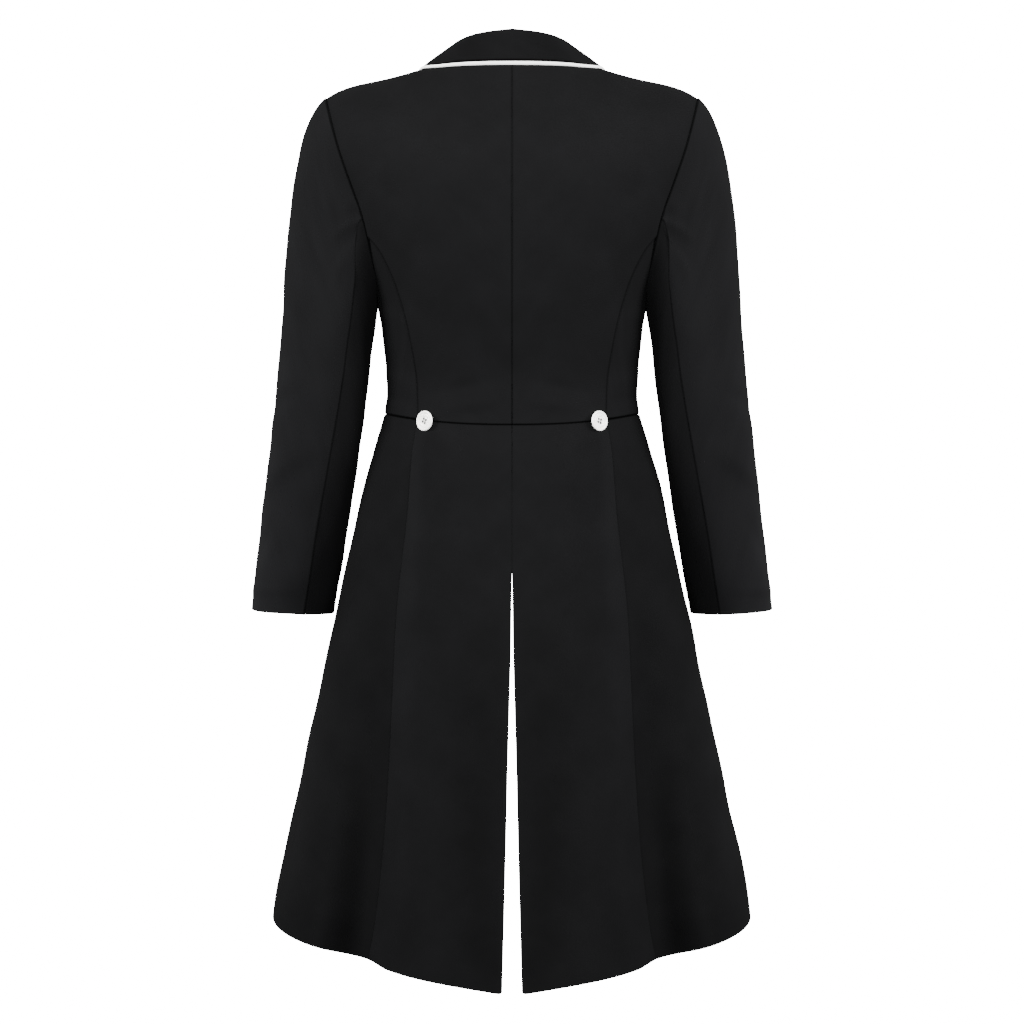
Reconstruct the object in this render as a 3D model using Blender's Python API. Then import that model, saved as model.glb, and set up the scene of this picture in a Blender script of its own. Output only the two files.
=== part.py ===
"""Dressage tailcoat, worn shape with no wearer.

The origin is the centre of the neck opening at the level of the neck points. +Z is up, +Y is the
wearer's back and +X is the wearer's left. Lengths are in metres, angles in the tables in degrees.

Each cut piece of cloth is a closed wall. Its outer face is a grid of points read from one of the
garment's smooth forms (torso, tails, sleeve, collar), and its inner face is the same grid moved in by
the thickness of the cloth, so that pieces that share a seam meet on the same line.
"""

import math
from collections import namedtuple

import bmesh
import bpy
from mathutils import Vector

# Cloth and seams
CLOTH = 0.0022
SEAM_GAP = 0.0004
LAP_GAP = 0.0008

# Steps for measuring a surface's direction, and rounds for finding a height on the rolled shoulder
NUDGE = 1e-4
ANGLE_STEP = 1e-3
TURN_STEP = 0.5
SHARE_STEP = 0.005
SEARCH_ROUNDS = 12

# Torso form: half width, and depth behind and before the plane of the shoulder seams
Torso = namedtuple("Torso", "level half_width back front")
TORSO = (
    Torso(-0.033, 0.2270, 0.092, 0.088),
    Torso(-0.060, 0.2185, 0.099, 0.096),
    Torso(-0.089, 0.2086, 0.103, 0.105),
    Torso(-0.120, 0.1955, 0.105, 0.113),
    Torso(-0.157, 0.1800, 0.105, 0.121),
    Torso(-0.195, 0.1650, 0.104, 0.126),
    Torso(-0.243, 0.1436, 0.100, 0.125),
    Torso(-0.285, 0.1360, 0.092, 0.112),
    Torso(-0.333, 0.1310, 0.083, 0.099),
    Torso(-0.364, 0.1335, 0.083, 0.098),
    Torso(-0.430, 0.1500, 0.090, 0.106),
)
SQUARENESS = 2.4
ROLL_LEVEL = -0.120
TIP_LEVEL = -0.033
WAIST_SIDE = -0.3636
WAIST_DIP = 0.013

# Shoulder line and neck hole
NECK_HALF_WIDTH = 0.066
NECK_BACK = 0.050
NECK_SPREAD = 0.100
NECK_CURVE = 1.5
NECK_LEVEL = 0.008
SHOULDER_HALF_WIDTH = 0.196
SHOULDER_SLOPE = 0.235
SHOULDER_DROP = 0.0085
SHOULDER_DROP_CURVE = 8
SHOULDER_HOLLOW = 0.0024
SHOULDER_HOLLOW_X = 0.130
SHOULDER_HOLLOW_WIDTH = 0.035
NECK_ROUNDNESS = 1.15
TIP_ROUNDNESS = 2.0
ROUNDNESS_CURVE = 1.5

# Armhole, as an angle round the torso and a level
ARM_ANGLE = math.radians(33)
ARM_CENTRE = -0.139
ARM_BOTTOM = -0.243
ARM_STOPS = (0, 14, 28, 42, 58, 74, 92, 110, 128, 146, 163, 180)
BACK_JOIN = 110
FRONT_JOIN = 128

# How finely the bodice is divided: across the back's neck, along each shoulder, and below the armhole
NECK_COLUMNS = 4
SHOULDER_COLUMNS = 9
BODICE_ROWS = 8

# Seams and edges of the bodice, as a half width at a level
Edge = namedtuple("Edge", "level half_width")
SIDE_BACK_SEAM = (
    Edge(-0.1746, 0.1531),
    Edge(-0.195, 0.1370),
    Edge(-0.234, 0.1192),
    Edge(-0.290, 0.1050),
    Edge(-0.338, 0.0983),
    Edge(-0.372, 0.0915),
)
FRONT_EDGE = (
    Edge(-0.033, 0.0660),
    Edge(-0.070, 0.0500),
    Edge(-0.110, 0.0355),
    Edge(-0.150, 0.0205),
    Edge(-0.190, 0.0045),
    Edge(-0.225, -0.0120),
    Edge(-0.248, -0.0180),
    Edge(-0.430, -0.0180),
)
SIDE_FRONT_TOP = -ARM_ANGLE * math.sin(math.radians(FRONT_JOIN))
SIDE_FRONT_WAIST = math.radians(-20)
LAP_RAMP_START = 0.080
LAP_RAMP_END = 0.040
LAP_TOP_START = -0.080
LAP_TOP_END = -0.150

# Lower edge of the fronts: how far it drops below the waist, by the angle round the torso
FrontHem = namedtuple("FrontHem", "angle drop")
FRONT_HEM = (
    FrontHem(-110, 0.004),
    FrontHem(-98, 0.008),
    FrontHem(-90, 0.022),
    FrontHem(-81, 0.045),
    FrontHem(-74, 0.036),
    FrontHem(-62, 0.014),
    FrontHem(-51.5, 0.000),
    FrontHem(-20, 0.000),
)

# Tails: how the section grows from the waist seam, 0, to the hem, 1
Tail = namedtuple("Tail", "share half_width back front seam valley vent")
TAIL = (
    Tail(0.00, 0.1335, 0.083, 0.098, 0.0915, 0.000, 0.0000),
    Tail(0.06, 0.1430, 0.092, 0.099, 0.1040, 0.003, 0.0000),
    Tail(0.17, 0.1595, 0.106, 0.098, 0.1080, 0.008, 0.0000),
    Tail(0.37, 0.1840, 0.129, 0.094, 0.1190, 0.018, 0.0012),
    Tail(0.61, 0.2100, 0.155, 0.090, 0.1250, 0.031, 0.0051),
    Tail(0.77, 0.2280, 0.172, 0.086, 0.1305, 0.042, 0.0071),
    Tail(0.93, 0.2475, 0.188, 0.082, 0.1400, 0.052, 0.0093),
    Tail(1.00, 0.2530, 0.195, 0.080, 0.1470, 0.056, 0.0106),
)
TAIL_ROWS = (0.0, 0.05, 0.11, 0.18, 0.26, 0.30, 0.37, 0.46, 0.55, 0.64, 0.73, 0.82, 0.91, 0.97, 1.0)
TAIL_BACK_COLUMNS = 8
TAIL_SIDE_COLUMNS = 11
CORNER_COLUMNS = (0.90, 0.95, 0.98, 1.0)
VENT_TOP = 0.29
VALLEY_OUT = 0.012
VALLEY_WIDTH = 0.036
HEM_SIDE = -0.895
HEM_DROP = 0.060
HEM_CURVE = 0.50
HEM_STEP = 0.0035
HEM_STEP_WIDTH = 0.020
TAIL_FRONT_WAIST = math.radians(-48)
TAIL_FRONT_HEM = math.radians(-6)
TAIL_FRONT_CURVE = 0.9
CORNER_RISE = 0.030
CORNER_SHARE = 0.85

# Sleeve below the cap: centre, half width, half depth and the forward tilt of its section
Arm = namedtuple("Arm", "level centre_x centre_y half_width half_depth tilt")
ARM = (
    Arm(-0.248, 0.1923, 0.004, 0.0478, 0.0590, 0.00),
    Arm(-0.290, 0.1963, 0.006, 0.0475, 0.0575, 0.00),
    Arm(-0.328, 0.2005, 0.006, 0.0472, 0.0560, 0.02),
    Arm(-0.391, 0.2084, 0.000, 0.0462, 0.0520, 0.08),
    Arm(-0.455, 0.2165, -0.012, 0.0455, 0.0475, 0.14),
    Arm(-0.518, 0.2251, -0.028, 0.0440, 0.0425, 0.14),
    Arm(-0.5735, 0.2335, -0.045, 0.0420, 0.0375, 0.05),
)
SLEEVE_LEAN = 0.04
CAP_END = -0.290
CUFF = -0.5735
CAP_SHARES = (0.0, 0.07, 0.16, 0.27, 0.40, 0.56, 0.76, 1.0)
TUBE_RINGS = 9
CAP_START_PULL = 0.56
CAP_END_PULL = 0.90
CAP_FOLD = math.radians(165)
CAP_FOLD_FROM = 80
CAP_FOLD_FULL = 140
CAP_CLEARANCE = 0.0006
SLEEVE_GAP_TURN = 0.22

# Collar, section by section from the centre back to the front end
Collar = namedtuple("Collar", "station neck_x fold_x fold_y fold_z edge_x edge_z hollow seam_z height leg")
COLLAR = (
    Collar(0.0, 0.0000, 0.0000, 0.0490, 0.0395, 0.0000, -0.0015, 0.000, 0.007, 0.020, 0.0060),
    Collar(1.0, 0.0360, 0.0280, 0.0425, 0.0376, 0.0400, -0.0012, 0.001, 0.007, 0.020, 0.0060),
    Collar(2.0, 0.0560, 0.0460, 0.0310, 0.0342, 0.0800, -0.0008, 0.002, 0.007, 0.020, 0.0060),
    Collar(3.0, 0.0660, 0.0575, 0.0140, 0.0288, 0.1030, -0.0026, 0.003, 0.007, 0.020, 0.0060),
    Collar(4.0, 0.0660, 0.0590, -0.0060, 0.0150, 0.1065, -0.0250, 0.003, -0.012, 0.013, 0.0030),
    Collar(5.0, 0.0660, 0.0570, -0.0260, -0.0110, 0.0970, -0.0540, 0.001, -0.040, 0.0070, 0.0004),
)
BACK_STATIONS = 3
COLLAR_STEPS = 4
STAND_END = 4.0
NECK_SEAM_LIFT = 0.001
COLLAR_LIFT = 0.0008
FOLD_RADIUS = 0.0036
FOLD_STOPS = (180, 135, 90, 45, 0)
FALL_STEPS = 5
PIPING_WIDTH = 0.005

# Lapels: where the roll line starts and ends, and the tip of the notch
LAPEL_ROWS = 8
LAPEL_COLUMNS = 6
LAPEL_TOP = -0.046
LAPEL_END = -0.186
LAPEL_END_RISE = 0.002
LAPEL_TIP_X = 0.120
LAPEL_TIP_Z = -0.088
LAPEL_ROLL_INSET = 0.0012
LAPEL_FOOT_WIDTH = 0.004
LAPEL_EDGE_CURVE = 1.35
GORGE_BEND = 0.6
LAPEL_SPRING = 0.002

# Buttons: the turned profile, from the foot of the shank to the middle of the dish
ButtonRow = namedtuple("ButtonRow", "radius height")
BUTTON_PROFILE = (
    ButtonRow(0.0000, 0.0000),
    ButtonRow(0.0030, 0.0000),
    ButtonRow(0.0030, 0.0010),
    ButtonRow(0.0105, 0.0011),
    ButtonRow(0.0120, 0.0024),
    ButtonRow(0.0116, 0.0038),
    ButtonRow(0.0100, 0.0042),
    ButtonRow(0.0085, 0.0035),
    ButtonRow(0.0000, 0.0035),
)
BUTTON_SIDES = 20
BUTTON_BACK_LIFT = 0.0008
BUTTON_FRONT_LIFT = 0.0002
BUTTON_BACK_X = 0.0915
BUTTON_BACK_Z = -0.3700
BUTTON_FRONT_Z = (-0.232, -0.284, -0.336)

# Finishes: linear colour and roughness
Finish = namedtuple("Finish", "colour roughness")
WOOL = Finish((0.013, 0.013, 0.013), 0.85)
PIPING = Finish((0.72, 0.72, 0.72), 0.7)
PEARL = Finish((0.75, 0.75, 0.74), 0.3)
SHARP_ANGLE = math.radians(50)

Piece = namedtuple("Piece", "outer inner")


def smooth(table, column, at):
    """Reads a column between the rows of a table, on a curve that never overshoots them."""
    rows = sorted(table)
    keys = [row[0] for row in rows]
    values = [getattr(row, column) for row in rows]
    at = min(max(at, keys[0]), keys[-1])
    index = max(i for i in range(len(keys) - 1) if keys[i] <= at or i == 0)
    slopes = [(values[i + 1] - values[i]) / (keys[i + 1] - keys[i]) for i in range(len(keys) - 1)]

    def tangent(i):
        before = slopes[max(i - 1, 0)]
        after = slopes[min(i, len(slopes) - 1)]
        if before * after <= 0:
            return 0.0
        return 2 * before * after / (before + after)

    step = keys[index + 1] - keys[index]
    t = (at - keys[index]) / step
    return (
        (1 + 2 * t) * (1 - t) ** 2 * values[index]
        + t * (1 - t) ** 2 * step * tangent(index)
        + t * t * (3 - 2 * t) * values[index + 1]
        + t * t * (t - 1) * step * tangent(index + 1)
    )


def ease(value):
    """0 below 0, 1 above 1, and a smooth step between."""
    value = min(max(value, 0.0), 1.0)
    return value * value * (3 - 2 * value)


def blend(start, end, share):
    return start + (end - start) * share


def across(angle):
    """The sideways share of a section at an angle: 1 at the side, 0 at the centre."""
    cosine = math.cos(angle)
    return math.copysign(abs(cosine) ** (2 / SQUARENESS), cosine)


def along(angle):
    """The depth share of a section at an angle: 1 at the centre back, -1 at the centre front."""
    sine = math.sin(angle)
    return math.copysign(abs(sine) ** (2 / SQUARENESS), sine)


def angle_at(x, half_width):
    """The angle, from 0 at the side, at which a section has this x. Past the centre it passes 90 degrees."""
    share = min(abs(x) / half_width, 1.0) ** (SQUARENESS / 2)
    return math.acos(math.copysign(share, x))


def shoulder_height(x):
    """The level of the shoulder line at a distance from the centre."""
    out = x - NECK_HALF_WIDTH
    share = max(out, 0.0) / (SHOULDER_HALF_WIDTH - NECK_HALF_WIDTH)
    drop = SHOULDER_DROP * share**SHOULDER_DROP_CURVE
    hollow = SHOULDER_HOLLOW * math.exp(-(((x - SHOULDER_HOLLOW_X) / SHOULDER_HOLLOW_WIDTH) ** 2))
    return NECK_LEVEL - SHOULDER_SLOPE * max(out, 0.0) - drop - hollow


def neck_depth(x):
    """How far behind the origin the neckline and the shoulder seam run at a distance from the centre."""
    return NECK_BACK * max(1 - (x / NECK_SPREAD) ** 2, 0.0) ** NECK_CURVE


def torso(angle, level):
    """A point on the outer face over the torso. 0 is the side, 90 degrees the centre back."""
    level = min(level, TIP_LEVEL)
    half_width = smooth(TORSO, "half_width", level)
    depth = smooth(TORSO, "back" if angle > 0 else "front", level)
    x = half_width * across(angle)
    y = depth * along(angle)
    if level <= ROLL_LEVEL:
        return Vector((x, y, level))
    share = (level - ROLL_LEVEL) / (TIP_LEVEL - ROLL_LEVEL)
    top_x = abs(TORSO[0].half_width * across(angle))
    top_y = neck_depth(top_x)
    top_z = shoulder_height(top_x)
    out = min(top_x / SHOULDER_HALF_WIDTH, 1.0) ** ROUNDNESS_CURVE
    roundness = blend(NECK_ROUNDNESS, TIP_ROUNDNESS, out)
    reach = max(1 - share**roundness, 0.0) ** (1 / roundness)
    return Vector((x, blend(top_y, y, reach), blend(ROLL_LEVEL, top_z, share)))


def facing(surface, u, v, u_step, v_step):
    """The direction at right angles to a surface, on the side that u turned to v gives."""
    along_u = surface(u + u_step, v) - surface(u - u_step, v)
    along_v = surface(u, v + v_step) - surface(u, v - v_step)
    return along_u.cross(along_v).normalized()


def torso_facing(angle, level):
    """The direction straight out of the torso at an angle and level."""
    if level < TIP_LEVEL - NUDGE:
        return facing(torso, angle, level, ANGLE_STEP, NUDGE)
    # Along the shoulder line the two sides share one direction, so that their walls stand parallel.
    below = TIP_LEVEL - 2 * NUDGE
    here = facing(torso, angle, below, ANGLE_STEP, NUDGE)
    if TORSO[0].half_width * across(angle) > NECK_HALF_WIDTH - NUDGE:
        return (here + facing(torso, -angle, below, ANGLE_STEP, NUDGE)).normalized()
    return here


def waist_level(angle):
    """The waist seam dips from the sides to the centre back."""
    return WAIST_SIDE - WAIST_DIP * max(math.sin(angle), 0.0) ** 2


def armhole(turn):
    """Angle and level of the armhole at a turn from its top, in degrees, the back first."""
    turn = math.radians(turn)
    if math.cos(turn) >= 0:
        side = 1 if math.sin(turn) >= 0 else -1
        return side * ARM_ANGLE, blend(ARM_CENTRE, TIP_LEVEL, math.cos(turn))
    return ARM_ANGLE * math.sin(turn), blend(ARM_CENTRE, ARM_BOTTOM, -math.cos(turn))


def torso_angle(x, level):
    """The angle at which the torso has this x at a level."""
    return angle_at(x, smooth(TORSO, "half_width", level))


def side_back_angle(level):
    """Where the curved side-back seam runs at a level."""
    return torso_angle(smooth(SIDE_BACK_SEAM, "half_width", level), level)


def side_front_angle(level):
    """Where the side-front seam runs at a level."""
    join = armhole(-FRONT_JOIN)[1]
    return blend(SIDE_FRONT_TOP, SIDE_FRONT_WAIST, (join - level) / (join - WAIST_SIDE))


def front_edge_angle(level):
    """Where the front's own edge runs: the roll line down to the fastening, then past the centre."""
    return -torso_angle(smooth(FRONT_EDGE, "half_width", level), level)


def front_hem_level(angle):
    """The lower edge of the fronts, which comes to a short point beside the centre."""
    return WAIST_SIDE - smooth(FRONT_HEM, "drop", math.degrees(angle))


def seam_turn(angle, level, gap):
    """The small angle that moves a point of the torso by a gap."""
    span = torso(angle + ANGLE_STEP, level) - torso(angle - ANGLE_STEP, level)
    return gap * 2 * ANGLE_STEP / span.length


def torso_wall(rows, lift=None):
    """Outer and inner points of a piece of the bodice, from rows of angle and level."""
    outer, inner = [], []
    for row in rows:
        outer_row, inner_row = [], []
        for angle, level in row:
            point = torso(angle, level)
            normal = torso_facing(angle, level)
            raised = lift(point) if lift else 0.0
            outer_row.append(point + normal * raised)
            inner_row.append(point + normal * (raised - CLOTH))
        outer.append(outer_row)
        inner.append(inner_row)
    return Piece(outer, inner)


def lower_shares():
    """Shares of the way down from the armhole to the waist seam."""
    return [row / BODICE_ROWS for row in range(BODICE_ROWS + 1)]


def side_back_foot():
    """The level at which the side-back seam meets the waist seam."""
    return waist_level(side_back_angle(SIDE_BACK_SEAM[-1].level))


def back_wall():
    """Centre back seam to the armhole and the side-back seam, neck to waist."""
    neck = angle_at(NECK_HALF_WIDTH, TORSO[0].half_width)
    neck_share = (math.pi / 2 - neck) / (math.pi / 2 - ARM_ANGLE)
    shares = [neck_share * column / NECK_COLUMNS for column in range(NECK_COLUMNS)]
    shares += [blend(neck_share, 1.0, column / SHOULDER_COLUMNS) for column in range(SHOULDER_COLUMNS + 1)]
    rows = []
    for turn in ARM_STOPS[: ARM_STOPS.index(BACK_JOIN) + 1]:
        edge, level = armhole(turn)
        centre = torso_angle(SEAM_GAP / 2, level)
        rows.append([(blend(centre, edge, share), level) for share in shares])
    join = armhole(BACK_JOIN)[1]
    for down in lower_shares()[1:]:
        seam_level = blend(join, side_back_foot(), down)
        edge = side_back_angle(seam_level)
        edge += seam_turn(edge, seam_level, SEAM_GAP / 2)
        centre = torso_angle(SEAM_GAP / 2, seam_level)
        row = []
        for share in shares:
            angle = blend(centre, edge, share)
            row.append((angle, blend(join, waist_level(angle) + SEAM_GAP / 2, down)))
        rows.append(row)
    return torso_wall(rows)


def side_body_wall():
    """Under the arm, from the side-back seam to the side-front seam."""
    stops = [stop for stop in ARM_STOPS if stop >= BACK_JOIN]
    stops += [360 - stop for stop in ARM_STOPS[::-1] if FRONT_JOIN <= stop < 180]
    top_back_angle, back_top = armhole(BACK_JOIN)
    front_top = armhole(-FRONT_JOIN)[1]
    rows = []
    for down in lower_shares():
        back_level = blend(back_top, side_back_foot(), down)
        front_level = blend(front_top, WAIST_SIDE, down)
        back_edge = side_back_angle(back_level) if down else top_back_angle
        front_edge = side_front_angle(front_level)
        back_edge -= seam_turn(back_edge, back_level, SEAM_GAP / 2)
        front_edge += seam_turn(front_edge, front_level, SEAM_GAP / 2)
        row = []
        for stop in stops:
            top_angle, top_level = armhole(stop)
            share = (top_back_angle - top_angle) / (top_back_angle - SIDE_FRONT_TOP)
            angle = blend(back_edge, front_edge, share)
            row.append((angle, blend(top_level, waist_level(angle) + SEAM_GAP / 2, down)))
        rows.append(row)
    return torso_wall(rows)


def front_wall(lift):
    """Shoulder, armhole and side-front seam to the front edge, and down to the pointed hem."""
    columns = [column / SHOULDER_COLUMNS for column in range(SHOULDER_COLUMNS + 1)]
    rows = []
    for turn in ARM_STOPS[: ARM_STOPS.index(FRONT_JOIN) + 1]:
        edge, level = armhole(turn)
        inner = front_edge_angle(level)
        rows.append([(blend(inner, -edge, share), level) for share in columns])
    join = armhole(-FRONT_JOIN)[1]
    for down in lower_shares()[1:]:
        level = blend(join, WAIST_SIDE, down)
        edge = side_front_angle(level)
        edge -= seam_turn(edge, level, SEAM_GAP / 2)
        inner = front_edge_angle(level)
        row = []
        for share in columns:
            angle = blend(inner, edge, share)
            row.append((angle, blend(join, front_hem_level(angle) + SEAM_GAP / 2, down)))
        rows.append(row)
    return torso_wall(rows, lift)


def lap_lift(point):
    """How far the right front stands out, so that it lies over the left one."""
    inward = ease((LAP_RAMP_START - point.x) / (LAP_RAMP_START - LAP_RAMP_END))
    return (CLOTH + LAP_GAP) * inward * ease((LAP_TOP_START - point.z) / (LAP_TOP_START - LAP_TOP_END))


def shoulder_parted(piece, back):
    """Moves the wall at the shoulder seam by half a seam gap, away from the other side."""
    shift = Vector((0, SEAM_GAP / 2 if back else -SEAM_GAP / 2, 0))
    for grid in piece:
        grid[0] = [point + shift for point in grid[0]]
    return piece


def tail(angle, share):
    """A point on the outer face of the tails: the waist section, widened, with the pleat valley."""
    waist = torso(angle, waist_level(angle))
    half_width = smooth(TAIL, "half_width", share)
    name = "back" if angle > 0 else "front"
    x = waist.x + (half_width - TAIL[0].half_width) * across(angle)
    y = waist.y + (smooth(TAIL, name, share) - getattr(TAIL[0], name)) * along(angle)
    if angle > 0:
        out = (x - smooth(TAIL, "seam", share) - VALLEY_OUT) / VALLEY_WIDTH
        y -= smooth(TAIL, "valley", share) * math.exp(-out * out)
    hem = HEM_SIDE - HEM_DROP * (1 - (1 - max(math.sin(angle), 0.0)) ** HEM_CURVE)
    hem -= HEM_STEP * ease((TAIL[-1].seam - tail_reach(angle)) / HEM_STEP_WIDTH)
    return Vector((x, y, blend(waist_level(angle) - SEAM_GAP / 2, hem, share)))


def tail_reach(angle):
    """The half width of the hem at an angle."""
    return TAIL[-1].half_width * across(angle)


def tail_angle(x, share):
    """The angle at which the tails are this far from the centre."""
    return angle_at(x, smooth(TAIL, "half_width", share))


def tail_facing(angle, share):
    """The direction straight out of the tails."""
    inside = min(max(share, SHARE_STEP), 1 - SHARE_STEP)
    return -facing(tail, angle, inside, ANGLE_STEP, SHARE_STEP)


def tail_wall(columns, rows, edges, corner=False):
    """A panel of the tails between two edges, each a function from a share to an angle."""
    outer, inner = [], []
    for share in rows:
        first, last = (edge(share) for edge in edges)
        outer_row, inner_row = [], []
        for column in columns:
            angle = blend(first, last, column)
            rise = 0.0
            if corner and column > CORNER_SHARE:
                part = (column - CORNER_SHARE) / (1 - CORNER_SHARE)
                rise = CORNER_RISE * (1 - math.sqrt(max(1 - part * part, 0.0))) * share
            point = tail(angle, share) + Vector((0, 0, rise))
            outer_row.append(point)
            inner_row.append(point - tail_facing(angle, share) * CLOTH)
        outer.append(outer_row)
        inner.append(inner_row)
    return Piece(outer, inner)


def tail_seam_turn(angle, share):
    """The small angle that moves a point of the tails by half a seam gap."""
    span = tail(angle + ANGLE_STEP, share) - tail(angle - ANGLE_STEP, share)
    return SEAM_GAP * ANGLE_STEP / span.length


def pleat_angle(share):
    """Where the pleat seam runs."""
    return tail_angle(smooth(TAIL, "seam", share), share)


def tail_back_wall():
    """From the centre seam, which opens into the vent, to the pleat seam."""
    def centre(share):
        opened = smooth(TAIL, "vent", share) if share > VENT_TOP else 0.0
        return tail_angle(SEAM_GAP / 2 + opened, share)

    def seam(share):
        angle = pleat_angle(share)
        return angle + tail_seam_turn(angle, share)

    columns = [column / TAIL_BACK_COLUMNS for column in range(TAIL_BACK_COLUMNS + 1)]
    return tail_wall(columns, TAIL_ROWS, (centre, seam))


def tail_side_wall():
    """From the pleat seam round to the cut-away front edge, with its rounded corner."""
    def seam(share):
        angle = pleat_angle(share)
        return angle - tail_seam_turn(angle, share)

    def front(share):
        return blend(TAIL_FRONT_WAIST, TAIL_FRONT_HEM, share**TAIL_FRONT_CURVE)

    columns = [CORNER_SHARE * column / TAIL_SIDE_COLUMNS for column in range(TAIL_SIDE_COLUMNS + 1)]
    columns += CORNER_COLUMNS
    return tail_wall(columns, TAIL_ROWS, (seam, front), corner=True)


def tube(turn, level):
    """A point on the outer face of the sleeve below its cap."""
    turn = math.radians(turn)
    out = smooth(ARM, "half_width", level) * math.cos(turn)
    behind = smooth(ARM, "half_depth", level) * math.sin(turn)
    x = smooth(ARM, "centre_x", level) + out
    y = smooth(ARM, "centre_y", level) + behind
    return Vector((x, y, level + SLEEVE_LEAN * out - smooth(ARM, "tilt", level) * behind))


def cap_root(turn):
    """Where the sleeve starts at the armhole, and the direction in which it leaves the bodice."""
    here = torso(*armhole(turn))
    run = torso(*armhole(turn + 4 * TURN_STEP)) - torso(*armhole(turn - 4 * TURN_STEP))
    normal = torso_facing(*armhole(turn))
    away = run.normalized().cross(normal).normalized()
    from_top = min(turn % 360, 360 - turn % 360)
    fold = CAP_FOLD * ease((from_top - CAP_FOLD_FROM) / (180 - CAP_FOLD_FROM))
    leaves = away * math.cos(fold) + normal * math.sin(fold)
    folded = ease((from_top - CAP_FOLD_FROM) / (CAP_FOLD_FULL - CAP_FOLD_FROM))
    gap = away * SEAM_GAP + normal * CAP_CLEARANCE * folded
    return here + gap, leaves


def sleeve(turn, down):
    """A point on the outer face of the sleeve: 0 at the armhole, 1 at the end of the cap, 2 at the cuff."""
    if down >= 1:
        return tube(turn, blend(CAP_END, CUFF, down - 1))
    start, leaves = cap_root(turn)
    end = tube(turn, CAP_END)
    chord = (end - start).length
    arrives = (tube(turn, CAP_END - SHARE_STEP) - end).normalized()
    t = down
    return (
        start * ((1 + 2 * t) * (1 - t) ** 2)
        + leaves * (t * (1 - t) ** 2 * chord * CAP_START_PULL)
        + end * (t * t * (3 - 2 * t))
        + arrives * (t * t * (t - 1) * chord * CAP_END_PULL)
    )


def sleeve_wall(turns):
    """The part of the sleeve between two of its seams, from the armhole to the cuff."""
    shares = list(CAP_SHARES) + [1 + ring / TUBE_RINGS for ring in range(1, TUBE_RINGS + 1)]
    outer, inner = [], []
    for down in shares:
        at = min(max(down, 2 * SHARE_STEP), 2 - 2 * SHARE_STEP)
        outer_row, inner_row = [], []
        for turn in turns:
            point = sleeve(turn, down)
            normal = -facing(sleeve, turn, at, TURN_STEP, SHARE_STEP)
            outer_row.append(point)
            inner_row.append(point - normal * CLOTH)
        outer.append(outer_row)
        inner.append(inner_row)
    return Piece(outer, inner)


def sleeve_turns(first, last):
    """The armhole's stops from one seam to the other, with half a seam gap left at each end."""
    stops = {*ARM_STOPS, *(-stop for stop in ARM_STOPS[1:-1]), *(360 - stop for stop in ARM_STOPS[1:])}
    chosen = [stop for stop in sorted(stops) if first <= stop <= last]
    chosen[0] += SLEEVE_GAP_TURN
    chosen[-1] -= SLEEVE_GAP_TURN
    return chosen


def stand_out(x, z, behind, lift):
    """The point at this x and z over the torso's front or back, moved out by a lift."""
    side = 1 if behind else -1
    share = 0.0
    for _ in range(SEARCH_ROUNDS):
        level = blend(ROLL_LEVEL, TIP_LEVEL, share) if z > ROLL_LEVEL else z
        angle = side * torso_angle(x, level)
        if z <= ROLL_LEVEL:
            break
        top_z = shoulder_height(TORSO[0].half_width * across(angle))
        share = min(max((z - ROLL_LEVEL) / (top_z - ROLL_LEVEL), 0.0), 1.0)
    return torso(angle, level) + torso_facing(angle, level) * lift


def spread(grid, thickness):
    """The inner face of a wall whose outer face is this grid, each point moved by its own mean normal."""
    rows, columns = len(grid), len(grid[0])
    moved = []
    for i in range(rows):
        moved_row = []
        for j in range(columns):
            down = grid[min(i + 1, rows - 1)][j] - grid[max(i - 1, 0)][j]
            over = grid[i][min(j + 1, columns - 1)] - grid[i][max(j - 1, 0)]
            moved_row.append(grid[i][j] - over.cross(down).normalized() * thickness)
        moved.append(moved_row)
    return moved


def lapel_wall(extra):
    """The turned-back part of a front: from the roll line out to the pointed edge."""
    outer, inner = [], []
    for row in range(LAPEL_ROWS + 1):
        down = row / LAPEL_ROWS
        outer_row, inner_row = [], []
        for column in range(LAPEL_COLUMNS + 1):
            out = column / LAPEL_COLUMNS
            roll_z = blend(LAPEL_TOP, LAPEL_END, down)
            edge_z = blend(LAPEL_TIP_Z, LAPEL_END - LAPEL_END_RISE, down)
            roll_x = lapel_roll(roll_z) + LAPEL_ROLL_INSET
            edge_x = blend(LAPEL_TIP_X, roll_x + LAPEL_FOOT_WIDTH, down**LAPEL_EDGE_CURVE)
            x = blend(roll_x, edge_x, out)
            z = blend(roll_z, edge_z, out ** (1 + GORGE_BEND * (1 - down)))
            rise = LAP_GAP + LAPEL_SPRING * math.sin(math.pi * out) * (1 - down)
            raised = rise + (extra(Vector((x, 0, z))) if extra else 0.0)
            outer_row.append(stand_out(x, z, False, raised + CLOTH))
            inner_row.append(stand_out(x, z, False, raised))
        outer.append(outer_row)
        inner.append(inner_row)
    return Piece(outer, inner)


def lapel_roll(z):
    """Half width of the roll line at a height on the front."""
    share = 0.5
    for _ in range(SEARCH_ROUNDS):
        level = blend(ROLL_LEVEL, TIP_LEVEL, share) if z > ROLL_LEVEL else z
        x = smooth(FRONT_EDGE, "half_width", level)
        if z <= ROLL_LEVEL:
            break
        share = min(max((z - ROLL_LEVEL) / (shoulder_height(x) - ROLL_LEVEL), 0.0), 1.0)
    return x


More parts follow.
